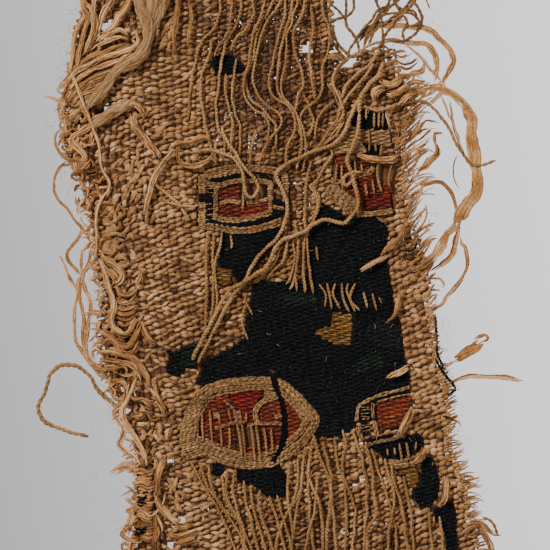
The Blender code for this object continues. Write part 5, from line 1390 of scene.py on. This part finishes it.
# Half width, lift off the face, points
DARK_THREADS = (
    (0.34, 0.5, ((87.1, 46.8), (87.2, 44.6), (87.3, 42.5), (87.4, 39.3), (88.3, 37.2), (88.9, 35.2),
     (90.7, 33.1), (91, 32), (89.5, 31))),
    (0.3, 0.5, ((86.9, 38.4), (88, 36.4), (89.4, 34.4), (90.9, 32.4))),
    (0.28, 0.5, ((88.4, 26.9), (89.6, 26.6), (90.4, 26.2))),
    (0.26, 0.6, ((80.7, 60), (82, 59.8), (83, 60.6), (83.2, 61.7))),
    (0.3, 0.7, ((27.4, 15.1), (28.6, 15.2), (29.8, 14.9))),
    (0.3, 0.7, ((27.5, 10.8), (28.8, 10.5), (29.7, 10.8))),
    (0.3, 0.7, ((27.4, 9.8), (28.6, 9.6), (29.5, 9.5))),
    (0.32, 0.7, ((27.1, 4.5), (28.4, 4.2), (29.4, 4.3))), (0.3, 0.7, ((27, 3.8), (28.2, 3.6), (29.3, 3.7))),
    (0.34, 0.8, ((27.7, 10.2), (28.6, 10.2), (29.4, 11.2))),
    (0.34, 0.8, ((27.6, 9.4), (28.2, 9), (28.8, 9.3))),
    (0.3, 0.8, ((28.6, 11.4), (29.2, 11.8), (29.7, 11.6))),
    (0.34, 0.8, ((26.8, 3.4), (27.6, 3.2), (28.4, 4), (29.2, 4.9))),
    (0.26, 0.8, ((27.6, 6.6), (28.4, 6.2))),
)
dark_threads = Skein()
for k, (half, lift, points) in enumerate(DARK_THREADS):
    lay_ply(dark_threads, points, half, 7600 + 5 * k, 0.0, lift, 0.04)
dark_threads.piece("dark_edge_threads", dark_wool, "dark_wool")


# Torn ends
# Above and below, the warps end in loose tips of uneven length past the last weft.

# Their lengths and bends are drawn on from the same chance as the locks
torn = Skein()
for k, column in enumerate(columns):
    for end, way in ((CLOTH_FOOT + 0.6, -1.0), (CLOTH_HEAD - 0.6, 1.0)):
        x = column + float(at_height(LEAN, end))
        if not inside_cloth(np.array([x]), np.array([end]))[0]:
            continue
        length = chance.uniform(1.6, 4.2)
        points = ((x, end), (x + chance.normal(0.0, 0.2), end + way * length / 2),
                  (x + chance.normal(0.0, 0.5), end + way * length))
        lay_ply(torn, points, PLY_HALF, 7000 + 4 * k, 0.0, -0.5)
torn.piece("torn_warp_ends", ply_linen, "frayed_linen")


# Fuzz
# Single fibres that stand off the old yarns everywhere, most along the torn edges.

FIBRE_HALF = 0.030
FIBRE_POINTS = 5
EDGE_FIBRES = 700
# How many are tried on the linen and as lint on the dark wool, where a fibre only stays on its own ground
FACE_FIBRES = 420
LINT_FIBRES = 260
LINT_LENGTHS = (0.1, 0.12, 0.15, 0.15, 0.9)


def lay_fibre(skein, start, heading, length, lift, chance):
    """One fine curved hair."""
    bend = chance.normal(0.0, 1.1)
    reach = np.linspace(0.0, length, FIBRE_POINTS)
    route = drape(swung(start, reach, heading + bend * reach / length), 0.1, 0.0, 1)
    route[:, 2] += lift * np.sin(np.linspace(0.2, math.pi - 0.4, FIBRE_POINTS))
    skein.lay(route, FIBRE_HALF, FIBRE_HALF, 4, 0.25)


fuzz = Skein()
chance = np.random.default_rng(47)
for _ in range(EDGE_FIBRES):
    y = chance.uniform(-4.0, 114.0)
    on_left = chance.random() < 0.5
    edge = at_height(LEFT_EDGE, y) if on_left else at_height(RIGHT_EDGE, min(y, 100.0))
    heading = (math.pi if on_left else 0.5) + chance.normal(0.0, 1.0)
    start = (edge + chance.normal(0.0, 1.0), y)
    lay_fibre(fuzz, start, heading, chance.uniform(0.8, 3.2), chance.uniform(0.0, 0.6), chance)
for _ in range(FACE_FIBRES):
    start = (chance.uniform(18.0, 90.0), chance.uniform(0.0, 112.0))
    heading = chance.uniform(0, math.tau)
    ahead = (math.cos(heading), math.sin(heading))
    near = np.array(start) + 2.0 * np.array(((0, 0), ahead, (-1, 0), (1, 0), (0, 1)))
    if (wool_at(near[:, 0], near[:, 1]) >= 0).any():
        continue
    lay_fibre(fuzz, start, heading, chance.uniform(0.8, 2.2), chance.uniform(0.3, 0.9), chance)
for _ in range(LINT_FIBRES):
    start = (chance.uniform(38.0, 92.0), chance.uniform(2.0, 68.0))
    if not LIGHT_KINDS <= wool_at(np.array(start[0]), np.array(start[1])) < KEPT_BARE:
        continue
    heading = chance.uniform(0, math.tau)
    lay_fibre(fuzz, start, heading, chance.choice(LINT_LENGTHS), 0.3, chance)
fuzz.piece("loose_fibres", frayed_linen, "frayed_linen")


# Studio
# A pale grey backdrop lit from within, so that no shadow falls on it, as in the photo. A soft key
# light stands high on the left, with a weak fill from the right.

PHOTO_CENTRE = (55.0, 55.0)
PHOTO_SPAN = 110.0
CAMERA_HEIGHT = 800.0
GLOW = 1.36
# Metres, as the objects below are placed
FLOOR_SIZE = 3.0
FLOOR_LEVEL = -0.0005
MIDDLE = (0.0, 0.0, 0.0)


def on_grid(x, y, z):
    """A grid point as a place in the scene."""
    return (Vector((x, y, z)) - Vector(GRID_CENTRE)) * MM


bpy.ops.mesh.primitive_plane_add(size=FLOOR_SIZE, location=(0.0, 0.0, FLOOR_LEVEL))
floor = bpy.context.object
floor.name = "backdrop"
paper = bpy.data.materials.new("lit_grey_backdrop")
paper.use_nodes = True
tree = paper.node_tree
tree.nodes.remove(tree.nodes["Principled BSDF"])
place = add_node(tree, "ShaderNodeTexCoord")
spread = add_node(tree, "ShaderNodeSeparateXYZ", {}, {"Vector": place.outputs["Object"]})
lowered = add_node(tree, "ShaderNodeMath", {"operation": "MULTIPLY_ADD", 1: 0.18},
                   {0: spread.outputs["Y"], 2: spread.outputs["X"]})
grade = add_node(tree, "ShaderNodeMapRange", {"From Min": -0.065, "From Max": 0.065},
                 {"Value": lowered.outputs["Value"]})
shades = add_node(tree, "ShaderNodeValToRGB", {}, {"Fac": grade.outputs["Result"]})
shades.color_ramp.elements[0].color = linear("#B2B0B3")
shades.color_ramp.elements[1].color = linear("#FFFCFF")
glow = add_node(tree, "ShaderNodeEmission", {"Strength": GLOW}, {"Color": shades.outputs["Color"]})
tree.links.new(glow.outputs["Emission"], tree.nodes["Material Output"].inputs["Surface"])
floor.data.materials.append(paper)


def add_light(name, place, target, size, power):
    """A square soft light that points at a spot."""
    data = bpy.data.lights.new(name, "AREA")
    data.size = size
    data.energy = power
    lamp = bpy.data.objects.new(name, data)
    lamp.location = place
    lamp.rotation_euler = (Vector(target) - Vector(place)).to_track_quat("-Z", "Y").to_euler()
    bpy.context.scene.collection.objects.link(lamp)


add_light("key", (-0.45, 0.40, 0.55), MIDDLE, 0.14, 7.6)
add_light("fill", (0.50, -0.20, 0.60), MIDDLE, 0.50, 1.7)
world = bpy.data.worlds.new("studio_air")
world.use_nodes = True
world.node_tree.nodes["Background"].inputs["Color"].default_value = linear("#EDEBEA")
world.node_tree.nodes["Background"].inputs["Strength"].default_value = 0.30
bpy.context.scene.world = world

lens = bpy.data.cameras.new("camera")
lens.sensor_width = 36.0
lens.lens = lens.sensor_width * CAMERA_HEIGHT / PHOTO_SPAN
camera = bpy.data.objects.new("camera", lens)
camera.location = on_grid(*PHOTO_CENTRE, CAMERA_HEIGHT)
bpy.context.scene.collection.objects.link(camera)
bpy.context.scene.camera = camera

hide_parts("ground_cloth", "left_fray", "right_fray", "top_fray", "bottom_fray")
